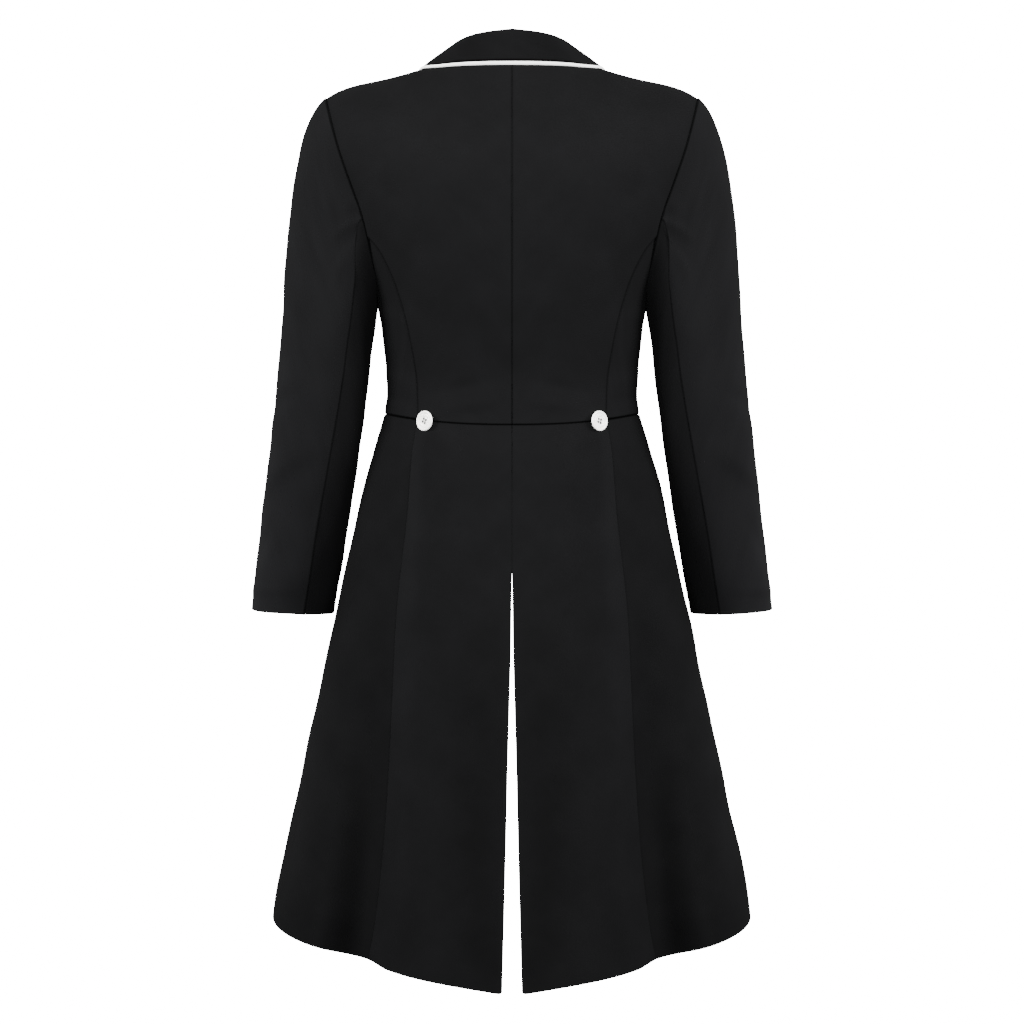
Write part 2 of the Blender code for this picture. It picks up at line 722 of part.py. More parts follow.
def collar_section(station):
    """Neck seam, fold and edge of the collar at a station, on the wearer's left."""
    reads = {name: smooth(COLLAR, name, station) for name in Collar._fields[1:]}
    behind = station <= BACK_STATIONS
    neck = Vector((reads["neck_x"], neck_depth(reads["neck_x"]), NECK_LEVEL + NECK_SEAM_LIFT))
    fold = Vector((reads["fold_x"], reads["fold_y"], reads["fold_z"]))
    edge = stand_out(reads["edge_x"], reads["edge_z"], behind, COLLAR_LIFT + CLOTH)
    if not behind:
        # In front the seam follows the edge of the front panel and the fold rises off it.
        seam_z = reads["seam_z"]
        seam_x = lapel_roll(seam_z) + NECK_SEAM_LIFT
        settled = ease(station - BACK_STATIONS)
        neck = neck.lerp(stand_out(seam_x, seam_z, False, NECK_SEAM_LIFT), settled)
        fold = fold.lerp(stand_out(seam_x, seam_z, False, NECK_SEAM_LIFT + reads["height"]), settled)
    return neck, fold, edge


def collar_profile(station):
    """The fall's outer face at a station: up the inside, over the fold and out to its edge."""
    neck, fold, edge = collar_section(station)
    to_neck = (neck - fold).normalized()
    to_edge = (edge - fold).normalized()
    up = -(to_neck + to_edge).normalized()
    out = (to_edge - up * to_edge.dot(up)).normalized()
    centre = fold - up * FOLD_RADIUS
    inner = centre - out * FOLD_RADIUS
    points = [inner + to_neck * smooth(COLLAR, "leg", station)]
    for degrees in FOLD_STOPS:
        turn = math.radians(degrees)
        points.append(centre + (out * math.cos(turn) + up * math.sin(turn)) * FOLD_RADIUS)
    start = points[-1]
    outward = (to_edge.cross(up)).cross(to_edge).normalized()
    pull = (start + edge) / 2 - outward * 2 * smooth(COLLAR, "hollow", station)
    for step in range(1, FALL_STEPS + 1):
        t = step / FALL_STEPS
        points.append(start * (1 - t) ** 2 + pull * (2 * t * (1 - t)) + edge * t * t)
    return points


def both_sides(stations, section):
    """Rows of points from the right front end round the back to the left one."""
    left = [section(station) for station in stations]
    right = [[Vector((-p.x, p.y, p.z)) for p in row] for row in left[1:]]
    return right[::-1] + left


def mirror(piece):
    """The wearer's right piece, from the left one."""
    return Piece(*([[Vector((-p.x, p.y, p.z)) for p in row] for row in grid] for grid in piece))


def build(name, piece, material):
    """Makes the closed mesh object of a piece: two faces and the narrow walls round their rim."""
    mesh = bmesh.new()
    outer = [[mesh.verts.new(p) for p in row] for row in piece.outer]
    inner = [[mesh.verts.new(p) for p in row] for row in piece.inner]
    rows, columns = len(outer), len(outer[0])
    for i in range(rows - 1):
        for j in range(columns - 1):
            mesh.faces.new((outer[i][j], outer[i][j + 1], outer[i + 1][j + 1], outer[i + 1][j]))
            mesh.faces.new((inner[i][j], inner[i + 1][j], inner[i + 1][j + 1], inner[i][j + 1]))
    rim = [(0, j) for j in range(columns)] + [(i, columns - 1) for i in range(1, rows)]
    rim += [(rows - 1, j) for j in range(columns - 2, -1, -1)] + [(i, 0) for i in range(rows - 2, 0, -1)]
    for (i, j), (k, m) in zip(rim, rim[1:] + rim[:1]):
        mesh.faces.new((outer[i][j], inner[i][j], inner[k][m], outer[k][m]))
    return finish(name, mesh, material)


def finish(name, mesh, material):
    """Turns a bmesh into an object that hangs from the garment's empty."""
    bmesh.ops.triangulate(mesh, faces=mesh.faces[:])
    bmesh.ops.recalc_face_normals(mesh, faces=mesh.faces[:])
    data = bpy.data.meshes.new(name)
    mesh.to_mesh(data)
    mesh.free()
    data.materials.append(material)
    data.shade_smooth()
    data.set_sharp_from_angle(angle=SHARP_ANGLE)
    thing = bpy.data.objects.new(name, data)
    bpy.context.scene.collection.objects.link(thing)
    thing.parent = bpy.data.objects["tailcoat"]
    return thing


def material_of(name, finish):
    """A plain Principled material in one of the garment's finishes."""
    material = bpy.data.materials.new(name)
    material.use_nodes = True
    shader = material.node_tree.nodes["Principled BSDF"]
    shader.inputs["Base Color"].default_value = (*finish.colour, 1)
    shader.inputs["Roughness"].default_value = finish.roughness
    shader.inputs["Metallic"].default_value = 0.0
    return material


def clear_scene():
    """Removes every object of the scene."""
    for thing in list(bpy.data.objects):
        bpy.data.objects.remove(thing)


def collar_grids():
    """Fall and piping as walls: one grid from the inner leg to the edge, parted at the piping seam."""
    stations = [step / COLLAR_STEPS for step in range(int(COLLAR[-1].station) * COLLAR_STEPS + 1)]
    whole, gaps = [], []
    for row in both_sides(stations, collar_profile):
        run = (row[-1] - row[-2]).normalized()
        seam = row[-1] - run * PIPING_WIDTH
        whole.append(row[:-1] + [seam, row[-1] - run * PIPING_WIDTH / 2, row[-1]])
        gaps.append(run * SEAM_GAP)
    walls = (whole, spread(whole, CLOTH))
    seam = len(whole[0]) - 3
    fall = ([row[:seam] + [row[seam] - gap] for row, gap in zip(wall, gaps)] for wall in walls)
    piping = ([row[seam:] for row in wall] for wall in walls)
    return Piece(*fall), Piece(*piping)


def stand_grid():
    """The upright band between the neck seam and the fall's inner leg."""
    def section(station):
        neck = collar_section(station)[0]
        leg = collar_profile(station)[0]
        top = leg + (neck - leg).normalized() * SEAM_GAP
        return [neck, (neck + top) / 2, top]

    stations = [step / COLLAR_STEPS for step in range(int(STAND_END * COLLAR_STEPS) + 1)]
    upright = both_sides(stations, section)
    return Piece(upright, spread(upright, CLOTH))


def build_button(name, foot, normal, material):
    """A dished shank button, turned round its axis, that stands on the cloth at its foot."""
    mesh = bmesh.new()
    profile = [mesh.verts.new((row.radius, 0, row.height)) for row in BUTTON_PROFILE]
    edges = [mesh.edges.new(pair) for pair in zip(profile, profile[1:])]
    axis = {"axis": (0, 0, 1), "cent": (0, 0, 0), "angle": 2 * math.pi}
    bmesh.ops.spin(mesh, geom=profile + edges, steps=BUTTON_SIDES, use_merge=True, **axis)
    bmesh.ops.remove_doubles(mesh, verts=mesh.verts[:], dist=NUDGE / 2)
    thing = finish(name, mesh, material)
    thing.location = foot
    thing.rotation_euler = Vector((0, 0, 1)).rotation_difference(normal).to_euler()
    return thing


def build_pairs(material):
    """The pieces whose left and right halves mirror each other."""
    pieces = {
        "back": shoulder_parted(back_wall(), True),
        "side_body": side_body_wall(),
        "skirt_back": tail_back_wall(),
        "skirt_side": tail_side_wall(),
        "sleeve_upper": sleeve_wall(sleeve_turns(-FRONT_JOIN, BACK_JOIN)),
        "sleeve_under": sleeve_wall(sleeve_turns(BACK_JOIN, 360 - FRONT_JOIN)),
    }
    for kind, piece in pieces.items():
        build(kind + "_left", piece, material)
        build(kind + "_right", mirror(piece), material)


def build_fronts(material):
    """The fronts and lapels, of which the right ones lie over the left."""
    build("front_left", shoulder_parted(front_wall(None), False), material)
    build("front_right", mirror(shoulder_parted(front_wall(lap_lift), False)), material)
    build("lapel_left", lapel_wall(None), material)
    build("lapel_right", mirror(lapel_wall(lap_lift)), material)


def build_buttons(material):
    """Two buttons at the back of the waist and three down the closed front."""
    foot = stand_out(BUTTON_BACK_X, BUTTON_BACK_Z, True, BUTTON_BACK_LIFT)
    normal = torso_facing(torso_angle(BUTTON_BACK_X, BUTTON_BACK_Z), BUTTON_BACK_Z)
    build_button("button_back_left", foot, normal, material)
    across_x = Vector((-1, 1, 1))
    build_button("button_back_right", foot * across_x, normal * across_x, material)
    for number, z in enumerate(BUTTON_FRONT_Z, 1):
        foot = stand_out(0.0, z, False, lap_lift(Vector((0, 0, z))) + BUTTON_FRONT_LIFT)
        build_button(f"button_front_{number}", foot, torso_facing(-math.pi / 2, z), material)


def main():
    clear_scene()
    garment = bpy.data.objects.new("tailcoat", None)
    bpy.context.scene.collection.objects.link(garment)
    wool = material_of("wool", WOOL)
    build_pairs(wool)
    build_fronts(wool)
    fall, piping = collar_grids()
    build("collar_fall", fall, wool)
    build("collar_piping", piping, material_of("piping", PIPING))
    build("collar_stand", stand_grid(), wool)
    build_buttons(material_of("button", PEARL))


main()
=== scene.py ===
"""Dressage tailcoat, dressed for rendering.

Every panel is a thin closed shell on the same smooth form as its solid, with its seam edges turned in,
its free edges rounded, and its creases placed one by one. Lengths are in metres, +Z is up, +Y is the
wearer's back and +X the wearer's left.
"""

import logging
import math
from collections.abc import Callable, Sequence
from dataclasses import dataclass, replace
from enum import Enum
from functools import cached_property
from typing import NamedTuple

import bmesh
import bpy
import numpy as np
from mathutils import Matrix, Vector

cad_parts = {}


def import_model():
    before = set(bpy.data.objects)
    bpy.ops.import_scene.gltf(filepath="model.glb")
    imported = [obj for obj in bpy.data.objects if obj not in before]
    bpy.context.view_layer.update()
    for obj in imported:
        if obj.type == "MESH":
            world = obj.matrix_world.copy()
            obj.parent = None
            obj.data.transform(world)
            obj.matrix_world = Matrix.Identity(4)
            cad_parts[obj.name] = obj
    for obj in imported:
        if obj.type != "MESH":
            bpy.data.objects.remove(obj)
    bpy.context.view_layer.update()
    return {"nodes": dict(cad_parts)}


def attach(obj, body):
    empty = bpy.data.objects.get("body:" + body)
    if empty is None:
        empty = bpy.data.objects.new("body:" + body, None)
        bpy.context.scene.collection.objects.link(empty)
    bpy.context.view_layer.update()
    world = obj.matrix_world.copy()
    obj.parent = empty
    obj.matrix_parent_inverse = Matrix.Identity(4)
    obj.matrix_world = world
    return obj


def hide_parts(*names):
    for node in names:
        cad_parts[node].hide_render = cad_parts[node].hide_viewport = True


log = logging.getLogger("tailcoat")

Points = np.ndarray
CLOTH = 0.0018  # thickness of the wool
STEP = 0.0032  # spacing of a panel's points
FINE_STEP = 0.0026  # the same on the small, sharply bent pieces
EDGE_STOPS = (0.0, 0.0004, 0.0009, 0.0015, 0.0023, 0.0034)  # points beside an edge, where it turns
NUDGE = 1e-4  # how far to look along a surface for its slope
TURN_NUDGE = 1e-3  # the same as an angle
SHORTEST = 1e-12  # keeps a vector of no length from dividing by zero
SEARCH_ROUNDS = 12
FADE_START, FADE_SPAN = 0.1, 0.8  # the part of a half wave that a crease's height follows along its run
WAVE_COUNT = 7
WAVE_LENGTHS = (0.045, 0.16)
WAVE_STARTS = 6.28  # a full turn, in which each wave's start is drawn
BAND = 0.314  # what one band of a wave texture spans at a scale of 1
WHITE = "#ffffff"


class Edge(Enum):
    """How a panel's edge is finished: sewn to its neighbour, turned under, both, or pressed to a pleat."""

    SEAM = "seam"
    PRESSED = "seam pressed open"
    HEM = "hem"
    SEAM_THEN_HEM = "seam, then hem"
    PLEAT = "pleat"
    UNDER_PLEAT = "under pleat"


class Side(Enum):
    """The wearer's side that a piece is on, as the sign of X."""

    LEFT = 1
    RIGHT = -1


class Curve:
    """A column of a table, read smoothly between its rows and never past them."""

    def __init__(self, keys: Sequence[float], values: Sequence[float]) -> None:
        """Sorts the rows and works out the slope at each.

        Args:
            keys: Where each row stands.
            values: What each row says.
        """
        order = np.argsort(keys)
        self.keys = np.asarray(keys, float)[order]
        self.values = np.asarray(values, float)[order]
        slopes = np.diff(self.values) / np.diff(self.keys)
        before = np.concatenate([slopes[:1], slopes])
        after = np.concatenate([slopes, slopes[-1:]])
        turns = before * after <= 0
        self.tangents = np.where(turns, 0.0, 2 * before * after / np.where(turns, 1.0, before + after))

    def __call__(self, at: Points | float) -> Points:
        """The column's value at one or many places.

        Args:
            at: The places.

        Returns:
            A value for each place.
        """
        at = np.clip(at, self.keys[0], self.keys[-1])
        index = np.clip(np.searchsorted(self.keys, at, side="right") - 1, 0, len(self.keys) - 2)
        step = self.keys[index + 1] - self.keys[index]
        t = (at - self.keys[index]) / step
        return (
            (1 + 2 * t) * (1 - t) ** 2 * self.values[index]
            + t * (1 - t) ** 2 * step * self.tangents[index]
            + t * t * (3 - 2 * t) * self.values[index + 1]
            + t * t * (t - 1) * step * self.tangents[index + 1]
        )


def column(rows: Sequence[NamedTuple], name: str) -> Curve:
    """Makes a curve of a table's named column, read by its first one."""
    return Curve([row[0] for row in rows], [getattr(row, name) for row in rows])


def blend(start: Points | float, end: Points | float, share: Points | float) -> Points:
    """The value a share of the way from start to end."""
    return start + (end - start) * share


def ease(value: Points | float) -> Points:
    """0 below 0, 1 above 1, and a smooth step between."""
    value = np.clip(value, 0.0, 1.0)
    return value * value * (3 - 2 * value)


def unit(vectors: Points) -> Points:
    """The vectors, each one long."""
    return vectors / np.maximum(np.linalg.norm(vectors, axis=-1, keepdims=True), SHORTEST)


def xyz(x: Points | float, y: Points | float, z: Points | float) -> Points:
    """Stacks three coordinates, spread to one shape."""
    return np.stack(np.broadcast_arrays(x, y, z), axis=-1).astype(float)


def facing(
    surface: Callable[[Points, Points], Points], u: Points, v: Points, u_step: float, v_step: float
) -> Points:
    """The direction at right angles to a surface, on the side that u turned to v gives.

    Args:
        surface: Gives points from two parameters.
        u: The first parameter.
        v: The second parameter.
        u_step: How far to look along u.
        v_step: How far to look along v.

    Returns:
        Vectors one long.
    """
    along_u = surface(u + u_step, v) - surface(u - u_step, v)
    along_v = surface(u, v + v_step) - surface(u, v - v_step)
    return unit(np.cross(along_u, along_v))


def divided(length: float, step: float = STEP) -> Points:
    """Shares along a length, close together at both ends, where the edge turns.

    Args:
        length: The length.
        step: The spacing away from the ends.

    Returns:
        Shares from 0 to 1.
    """
    ends = np.array(EDGE_STOPS) / length
    count = max(3, round(length * (1 - 2 * ends[-1]) / step))
    middle = np.linspace(ends[-1], 1 - ends[-1], count + 1)
    return np.concatenate([ends[:-1], middle, 1 - ends[-2::-1]])


def shares(width: float, length: float, step: float = STEP) -> tuple[Points, Points]:
    """Shares across a panel of this size, as one row, and down it, as one column."""
    return divided(width, step)[None, :], divided(length, step)[:, None]


def turned(profile: Sequence[Sequence[float]], sides: int) -> tuple[Points, list[list[int]]]:
    """Turns a profile round +Z: from its foot on the axis, up its outside, to its top on the axis.

    Args:
        profile: Rows of radius and height. The first and the last lie on the axis.
        sides: How many sides the turned shape has.

    Returns:
        Its corners and its faces.
    """
    turns = np.arange(sides) * 2 * math.pi / sides
    rings = [xyz(radius * np.cos(turns), radius * np.sin(turns), height) for radius, height in profile[1:-1]]
    points = np.concatenate([[(0, 0, profile[0][1])], *rings, [(0, 0, profile[-1][1])]])
    here = np.arange(sides)
    there = (here + 1) % sides
    top, last = len(points) - 1, len(points) - 1 - sides
    faces = np.stack([np.zeros_like(here), 1 + there, 1 + here], axis=-1).tolist()
    for ring in range(1, last, sides):
        above = ring + sides
        faces += np.stack([ring + here, ring + there, above + there, above + here], axis=-1).tolist()
    return points, faces + np.stack([np.full(sides, top), last + here, last + there], axis=-1).tolist()


class TorsoRow(NamedTuple):
    """Half width of the torso at a level, and its depth behind and before the shoulder seams."""

    level: float
    half_width: float
    back: float
    front: float


class EdgeRow(NamedTuple):
    """How far from the centre an edge runs at a level."""

    level: float
    half_width: float


class HemRow(NamedTuple):
    """How far the fronts drop below the waist, by the angle round the torso in degrees."""

    angle: float
    drop: float


@dataclass(frozen=True)
class TorsoForm:
    """The outer face over the torso. Angle 0 is the side and 90 degrees the centre back."""

    rows: tuple[TorsoRow, ...] = (
        TorsoRow(-0.033, 0.2270, 0.092, 0.088),
        TorsoRow(-0.060, 0.2185, 0.099, 0.096),
        TorsoRow(-0.089, 0.2086, 0.103, 0.105),
        TorsoRow(-0.120, 0.1955, 0.105, 0.113),
        TorsoRow(-0.157, 0.1800, 0.105, 0.121),
        TorsoRow(-0.195, 0.1650, 0.104, 0.126),
        TorsoRow(-0.243, 0.1436, 0.100, 0.125),
        TorsoRow(-0.256, 0.1402, 0.098, 0.1226),
        TorsoRow(-0.285, 0.1370, 0.092, 0.112),
        TorsoRow(-0.333, 0.1323, 0.083, 0.099),
        TorsoRow(-0.364, 0.1350, 0.083, 0.098),
        TorsoRow(-0.430, 0.1520, 0.090, 0.106),
    )
    side_back_seam: tuple[EdgeRow, ...] = (
        EdgeRow(-0.1746, 0.1531),
        EdgeRow(-0.195, 0.1370),
        EdgeRow(-0.234, 0.1192),
        EdgeRow(-0.290, 0.1050),
        EdgeRow(-0.338, 0.0983),
        EdgeRow(-0.372, 0.0975),
    )
    front_edge: tuple[EdgeRow, ...] = (
        EdgeRow(-0.033, 0.0660),
        EdgeRow(-0.070, 0.0500),
        EdgeRow(-0.110, 0.0355),
        EdgeRow(-0.150, 0.0205),
        EdgeRow(-0.190, 0.0045),
        EdgeRow(-0.225, -0.0120),
        EdgeRow(-0.248, -0.0180),
        EdgeRow(-0.430, -0.0180),
    )
    front_hem: tuple[HemRow, ...] = (
        HemRow(-110, 0.004),
        HemRow(-98, 0.008),
        HemRow(-90, 0.022),
        HemRow(-81, 0.045),
        HemRow(-74, 0.036),
        HemRow(-62, 0.014),
        HemRow(-51.5, 0.000),
        HemRow(-20, 0.000),
    )
    squareness: float = 2.4
    roll_level: float = -0.120
    tip_level: float = -0.033
    waist_side: float = -0.3636
    waist_dip: float = 0.013
    neck_half_width: float = 0.066
    neck_back: float = 0.050
    neck_spread: float = 0.100
    neck_curve: float = 1.5
    neck_level: float = 0.008
    shoulder_half_width: float = 0.196
    shoulder_slope: float = 0.235
    shoulder_drop: float = 0.0085
    shoulder_drop_curve: float = 8
    shoulder_hollow: float = 0.0024
    shoulder_hollow_x: float = 0.130
    shoulder_hollow_width: float = 0.035
    neck_roundness: float = 1.15
    tip_roundness: float = 2.0
    roundness_curve: float = 1.5
    arm_angle: float = math.radians(33)
    arm_centre: float = -0.139
    arm_bottom: float = -0.243
    back_join: float = 110
    front_join: float = 128
    side_front_waist: float = math.radians(-20)
    lap_rise: float = 0.0030
    lap_ramp_start: float = 0.080
    lap_ramp_end: float = 0.040
    lap_top_start: float = -0.080
    lap_top_end: float = -0.150
    back_size: tuple[float, float] = (0.190, 0.400)
    back_split: float = 0.46
    side_size: tuple[float, float] = (0.120, 0.160)
    front_size: tuple[float, float] = (0.200, 0.430)
    front_split: float = 0.50

    @cached_property
    def half_width(self) -> Curve:
        """The half width by level."""
        return column(self.rows, "half_width")

    @cached_property
    def back_depth(self) -> Curve:
        """The depth behind, by level."""
        return column(self.rows, "back")

    @cached_property
    def front_depth(self) -> Curve:
        """The depth in front, by level."""
        return column(self.rows, "front")

    @cached_property
    def roll_line(self) -> Curve:
        """The half width of the front's own edge, by level."""
        return column(self.front_edge, "half_width")

    @cached_property
    def side_back_line(self) -> Curve:
        """The half width of the side-back seam, by level."""
        return column(self.side_back_seam, "half_width")

    @cached_property
    def hem_drop(self) -> Curve:
        """The drop of the fronts' hem, by angle."""
        return column(self.front_hem, "drop")

    def across(self, angle: Points) -> Points:
        """The sideways share of a section at an angle."""
        cosine = np.cos(angle)
        return np.sign(cosine) * np.abs(cosine) ** (2 / self.squareness)

    def along(self, angle: Points) -> Points:
        """The depth share of a section at an angle."""
        sine = np.sin(angle)
        return np.sign(sine) * np.abs(sine) ** (2 / self.squareness)

    def angle_of(self, x: Points, half_width: Points) -> Points:
        """The angle at which a section of this half width has this x."""
        share = np.minimum(np.abs(x) / half_width, 1.0) ** (self.squareness / 2)
        return np.arccos(np.copysign(share, x))

    def angle_at(self, x: Points, level: Points) -> Points:
        """The angle at which the torso has this x at a level."""
        return self.angle_of(x, self.half_width(level))

    def shoulder_height(self, x: Points) -> Points:
        """The level of the shoulder line at a distance from the centre.

        Args:
            x: The distance.

        Returns:
            The level.
        """
        out = np.maximum(x - self.neck_half_width, 0.0)
        share = out / (self.shoulder_half_width - self.neck_half_width)
        drop = self.shoulder_drop * share**self.shoulder_drop_curve
        hollow = np.exp(-(((x - self.shoulder_hollow_x) / self.shoulder_hollow_width) ** 2))
        return self.neck_level - self.shoulder_slope * out - drop - self.shoulder_hollow * hollow

    def neck_depth(self, x: Points) -> Points:
        """How far behind the origin the neckline runs at a distance from the centre."""
        return self.neck_back * np.maximum(1 - (x / self.neck_spread) ** 2, 0.0) ** self.neck_curve

    def point(self, angle: Points, level: Points) -> Points:
        """Points of the outer face at angles and levels.

        Args:
            angle: Angles round the torso.
            level: Levels, which over the roll level lead to the shoulder line.

        Returns:
            A point for each pair.
        """
        level = np.minimum(level, self.tip_level)
        depth = np.where(np.asarray(angle) > 0, self.back_depth(level), self.front_depth(level))
        x = self.half_width(level) * self.across(angle)
        y = depth * self.along(angle)
        share = np.clip((level - self.roll_level) / (self.tip_level - self.roll_level), 0.0, 1.0)
        top_x = np.abs(self.rows[0].half_width * self.across(angle))
        top_y = self.neck_depth(top_x)
        out = np.minimum(top_x / self.shoulder_half_width, 1.0) ** self.roundness_curve
        roundness = blend(self.neck_roundness, self.tip_roundness, out)
        reach = np.maximum(1 - share**roundness, 0.0) ** (1 / roundness)
        rolled = level > self.roll_level
        rolled_z = blend(self.roll_level, self.shoulder_height(top_x), share)
        return xyz(x, np.where(rolled, blend(top_y, y, reach), y), np.where(rolled, rolled_z, level))

    def facing(self, angle: Points, level: Points) -> Points:
        """The direction straight out of the torso. Along the shoulder line both sides share it.

        Args:
            angle: Angles round the torso.
            level: Levels.

        Returns:
            Vectors one long.
        """
        inside = np.minimum(level, self.tip_level - 2 * NUDGE)
        here = facing(self.point, angle, inside, TURN_NUDGE, NUDGE)
        there = facing(self.point, -np.asarray(angle), inside, TURN_NUDGE, NUDGE)
        on_line = (np.asarray(level) >= self.tip_level - NUDGE)[..., None]
        return np.where(on_line, unit(here + there), here)

    def stand_out(self, x: Points, z: Points, behind: bool, lift: Points) -> Points:
        """Points over the back or the front, found by their x and z.

        Args:
            x: Distances from the centre.
            z: Heights.
            behind: Whether the points lie on the back.
            lift: How far each is moved out.

        Returns:
            A point for each pair.
        """
        side = 1 if behind else -1
        share = np.full(np.shape(np.broadcast_arrays(x, z)[0]), 0.5)
        rolled = np.asarray(z) > self.roll_level
        level = np.where(rolled, blend(self.roll_level, self.tip_level, share), z)
        for _ in range(SEARCH_ROUNDS):
            angle = side * self.angle_at(x, level)
            top_z = self.shoulder_height(np.abs(self.rows[0].half_width * self.across(angle)))
            share = np.clip((z - self.roll_level) / (top_z - self.roll_level), 0.0, 1.0)
            level = np.where(rolled, blend(self.roll_level, self.tip_level, share), z)
        angle = side * self.angle_at(x, level)
        return self.point(angle, level) + self.facing(angle, level) * np.asarray(lift)[..., None]

    def roll_at(self, z: Points) -> Points:
        """Half width of the roll line at a height on the front.

        Args:
            z: The height.

        Returns:
            The half width.
        """
        share = np.full(np.shape(z), 0.5)
        rolled = np.asarray(z) > self.roll_level
        x = self.roll_line(z)
        for _ in range(SEARCH_ROUNDS):
            level = np.where(rolled, blend(self.roll_level, self.tip_level, share), z)
            x = self.roll_line(level)
            top = self.shoulder_height(x)
            share = np.clip((z - self.roll_level) / (top - self.roll_level), 0.0, 1.0)
        return x

    def waist_level(self, angle: Points) -> Points:
        """The waist seam, which dips from the sides to the centre back."""
        return self.waist_side - self.waist_dip * np.maximum(np.sin(angle), 0.0) ** 2

    def armhole(self, turn: Points) -> tuple[Points, Points]:
        """Where the armhole runs.

        Args:
            turn: Turns from its top in degrees, the back first.

        Returns:
            The angle and the level for each.
        """
        turn = np.radians(turn)
        upper = np.cos(turn) >= 0
        side = np.where(np.sin(turn) >= 0, 1.0, -1.0)
        angle = np.where(upper, side * self.arm_angle, self.arm_angle * np.sin(turn))
        end = np.where(upper, self.tip_level, self.arm_bottom)
        return angle, blend(self.arm_centre, end, np.abs(np.cos(turn)))

    def lap_lift(self, x: Points, z: Points) -> Points:
        """How far the right front stands out, so that it lies over the left one.

        Args:
            x: Distances from the centre, over 0 on the front's own side.
            z: Heights.

        Returns:
            The lift of each point.
        """
        inward = ease((self.lap_ramp_start - x) / (self.lap_ramp_start - self.lap_ramp_end))
        down = ease((self.lap_top_start - z) / (self.lap_top_start - self.lap_top_end))
        return self.lap_rise * inward * down

    def back_grid(self) -> Points:
        """The back: rows from the shoulder to the waist, columns from the centre to the side.

        Returns:
            Points of its outer face.
        """
        across, down = shares(*self.back_size)
        upper = down <= self.back_split
        edge, level = self.armhole(np.minimum(down / self.back_split, 1.0) * self.back_join)
        high = blend(self.angle_at(0.0, level), edge, across)
        join = self.armhole(self.back_join)[1]
        low = np.clip((down - self.back_split) / (1 - self.back_split), 0.0, 1.0)
        seam_level = blend(join, self.side_back_foot, low)
        side = self.angle_at(self.side_back_line(seam_level), seam_level)
        angle = np.where(upper, high, blend(self.angle_at(0.0, seam_level), side, across))
        return self.point(angle, np.where(upper, level, blend(join, self.waist_level(angle), low)))

    @cached_property
    def side_back_foot(self) -> float:
        """The level at which the side-back seam meets the waist seam."""
        last = self.side_back_seam[-1]
        return float(self.waist_level(self.angle_at(last.half_width, last.level)))

    def side_grid(self) -> Points:
        """The side body: rows from the armhole to the waist, columns from the back to the front.

        Returns:
            Points of its outer face.
        """
        across, down = shares(*self.side_size)
        turn = self.back_join + (360 - self.front_join - self.back_join) * across
        back_angle, back_top = self.armhole(self.back_join)
        front_angle, front_top = self.armhole(-self.front_join)
        back_level = blend(back_top, self.side_back_foot, down)
        back_edge = self.angle_at(self.side_back_line(back_level), back_level)
        back_edge = np.where(down > 0, back_edge, back_angle)
        front_edge = self.side_front_angle(blend(front_top, self.waist_side, down))
        top_angle, top_level = self.armhole(turn)
        share = (back_angle - top_angle) / (back_angle - front_angle)
        angle = blend(back_edge, front_edge, share)
        return self.point(angle, blend(top_level, self.waist_level(angle), down))

    def side_front_angle(self, level: Points) -> Points:
        """Where the side-front seam runs at a level."""
        top_angle, top = self.armhole(-self.front_join)
        return blend(top_angle, self.side_front_waist, (top - level) / (top - self.waist_side))

    def front_grid(self) -> Points:
        """The front: rows from the shoulder to the hem, columns from the front edge to the side.

        Returns:
            Points of its outer face.
        """
        across, down = shares(*self.front_size)
        upper = down <= self.front_split
        edge, level = self.armhole(np.minimum(down / self.front_split, 1.0) * self.front_join)
        high = blend(-self.angle_at(self.roll_line(level), level), -edge, across)
        join = self.armhole(-self.front_join)[1]
        low = np.clip((down - self.front_split) / (1 - self.front_split), 0.0, 1.0)
        low_level = blend(join, self.waist_side, low)
        inner = -self.angle_at(self.roll_line(low_level), low_level)
        angle = np.where(upper, high, blend(inner, self.side_front_angle(low_level), across))
        hem = self.waist_side - self.hem_drop(np.degrees(angle))
        return self.point(angle, np.where(upper, level, blend(join, hem, low)))


class TailRow(NamedTuple):
    """The tails' section at a share of the way down, with the seam, the valley and the vent."""

    share: float
    half_width: float
    back: float
    front: float
    seam: float
    valley: float
    vent: float


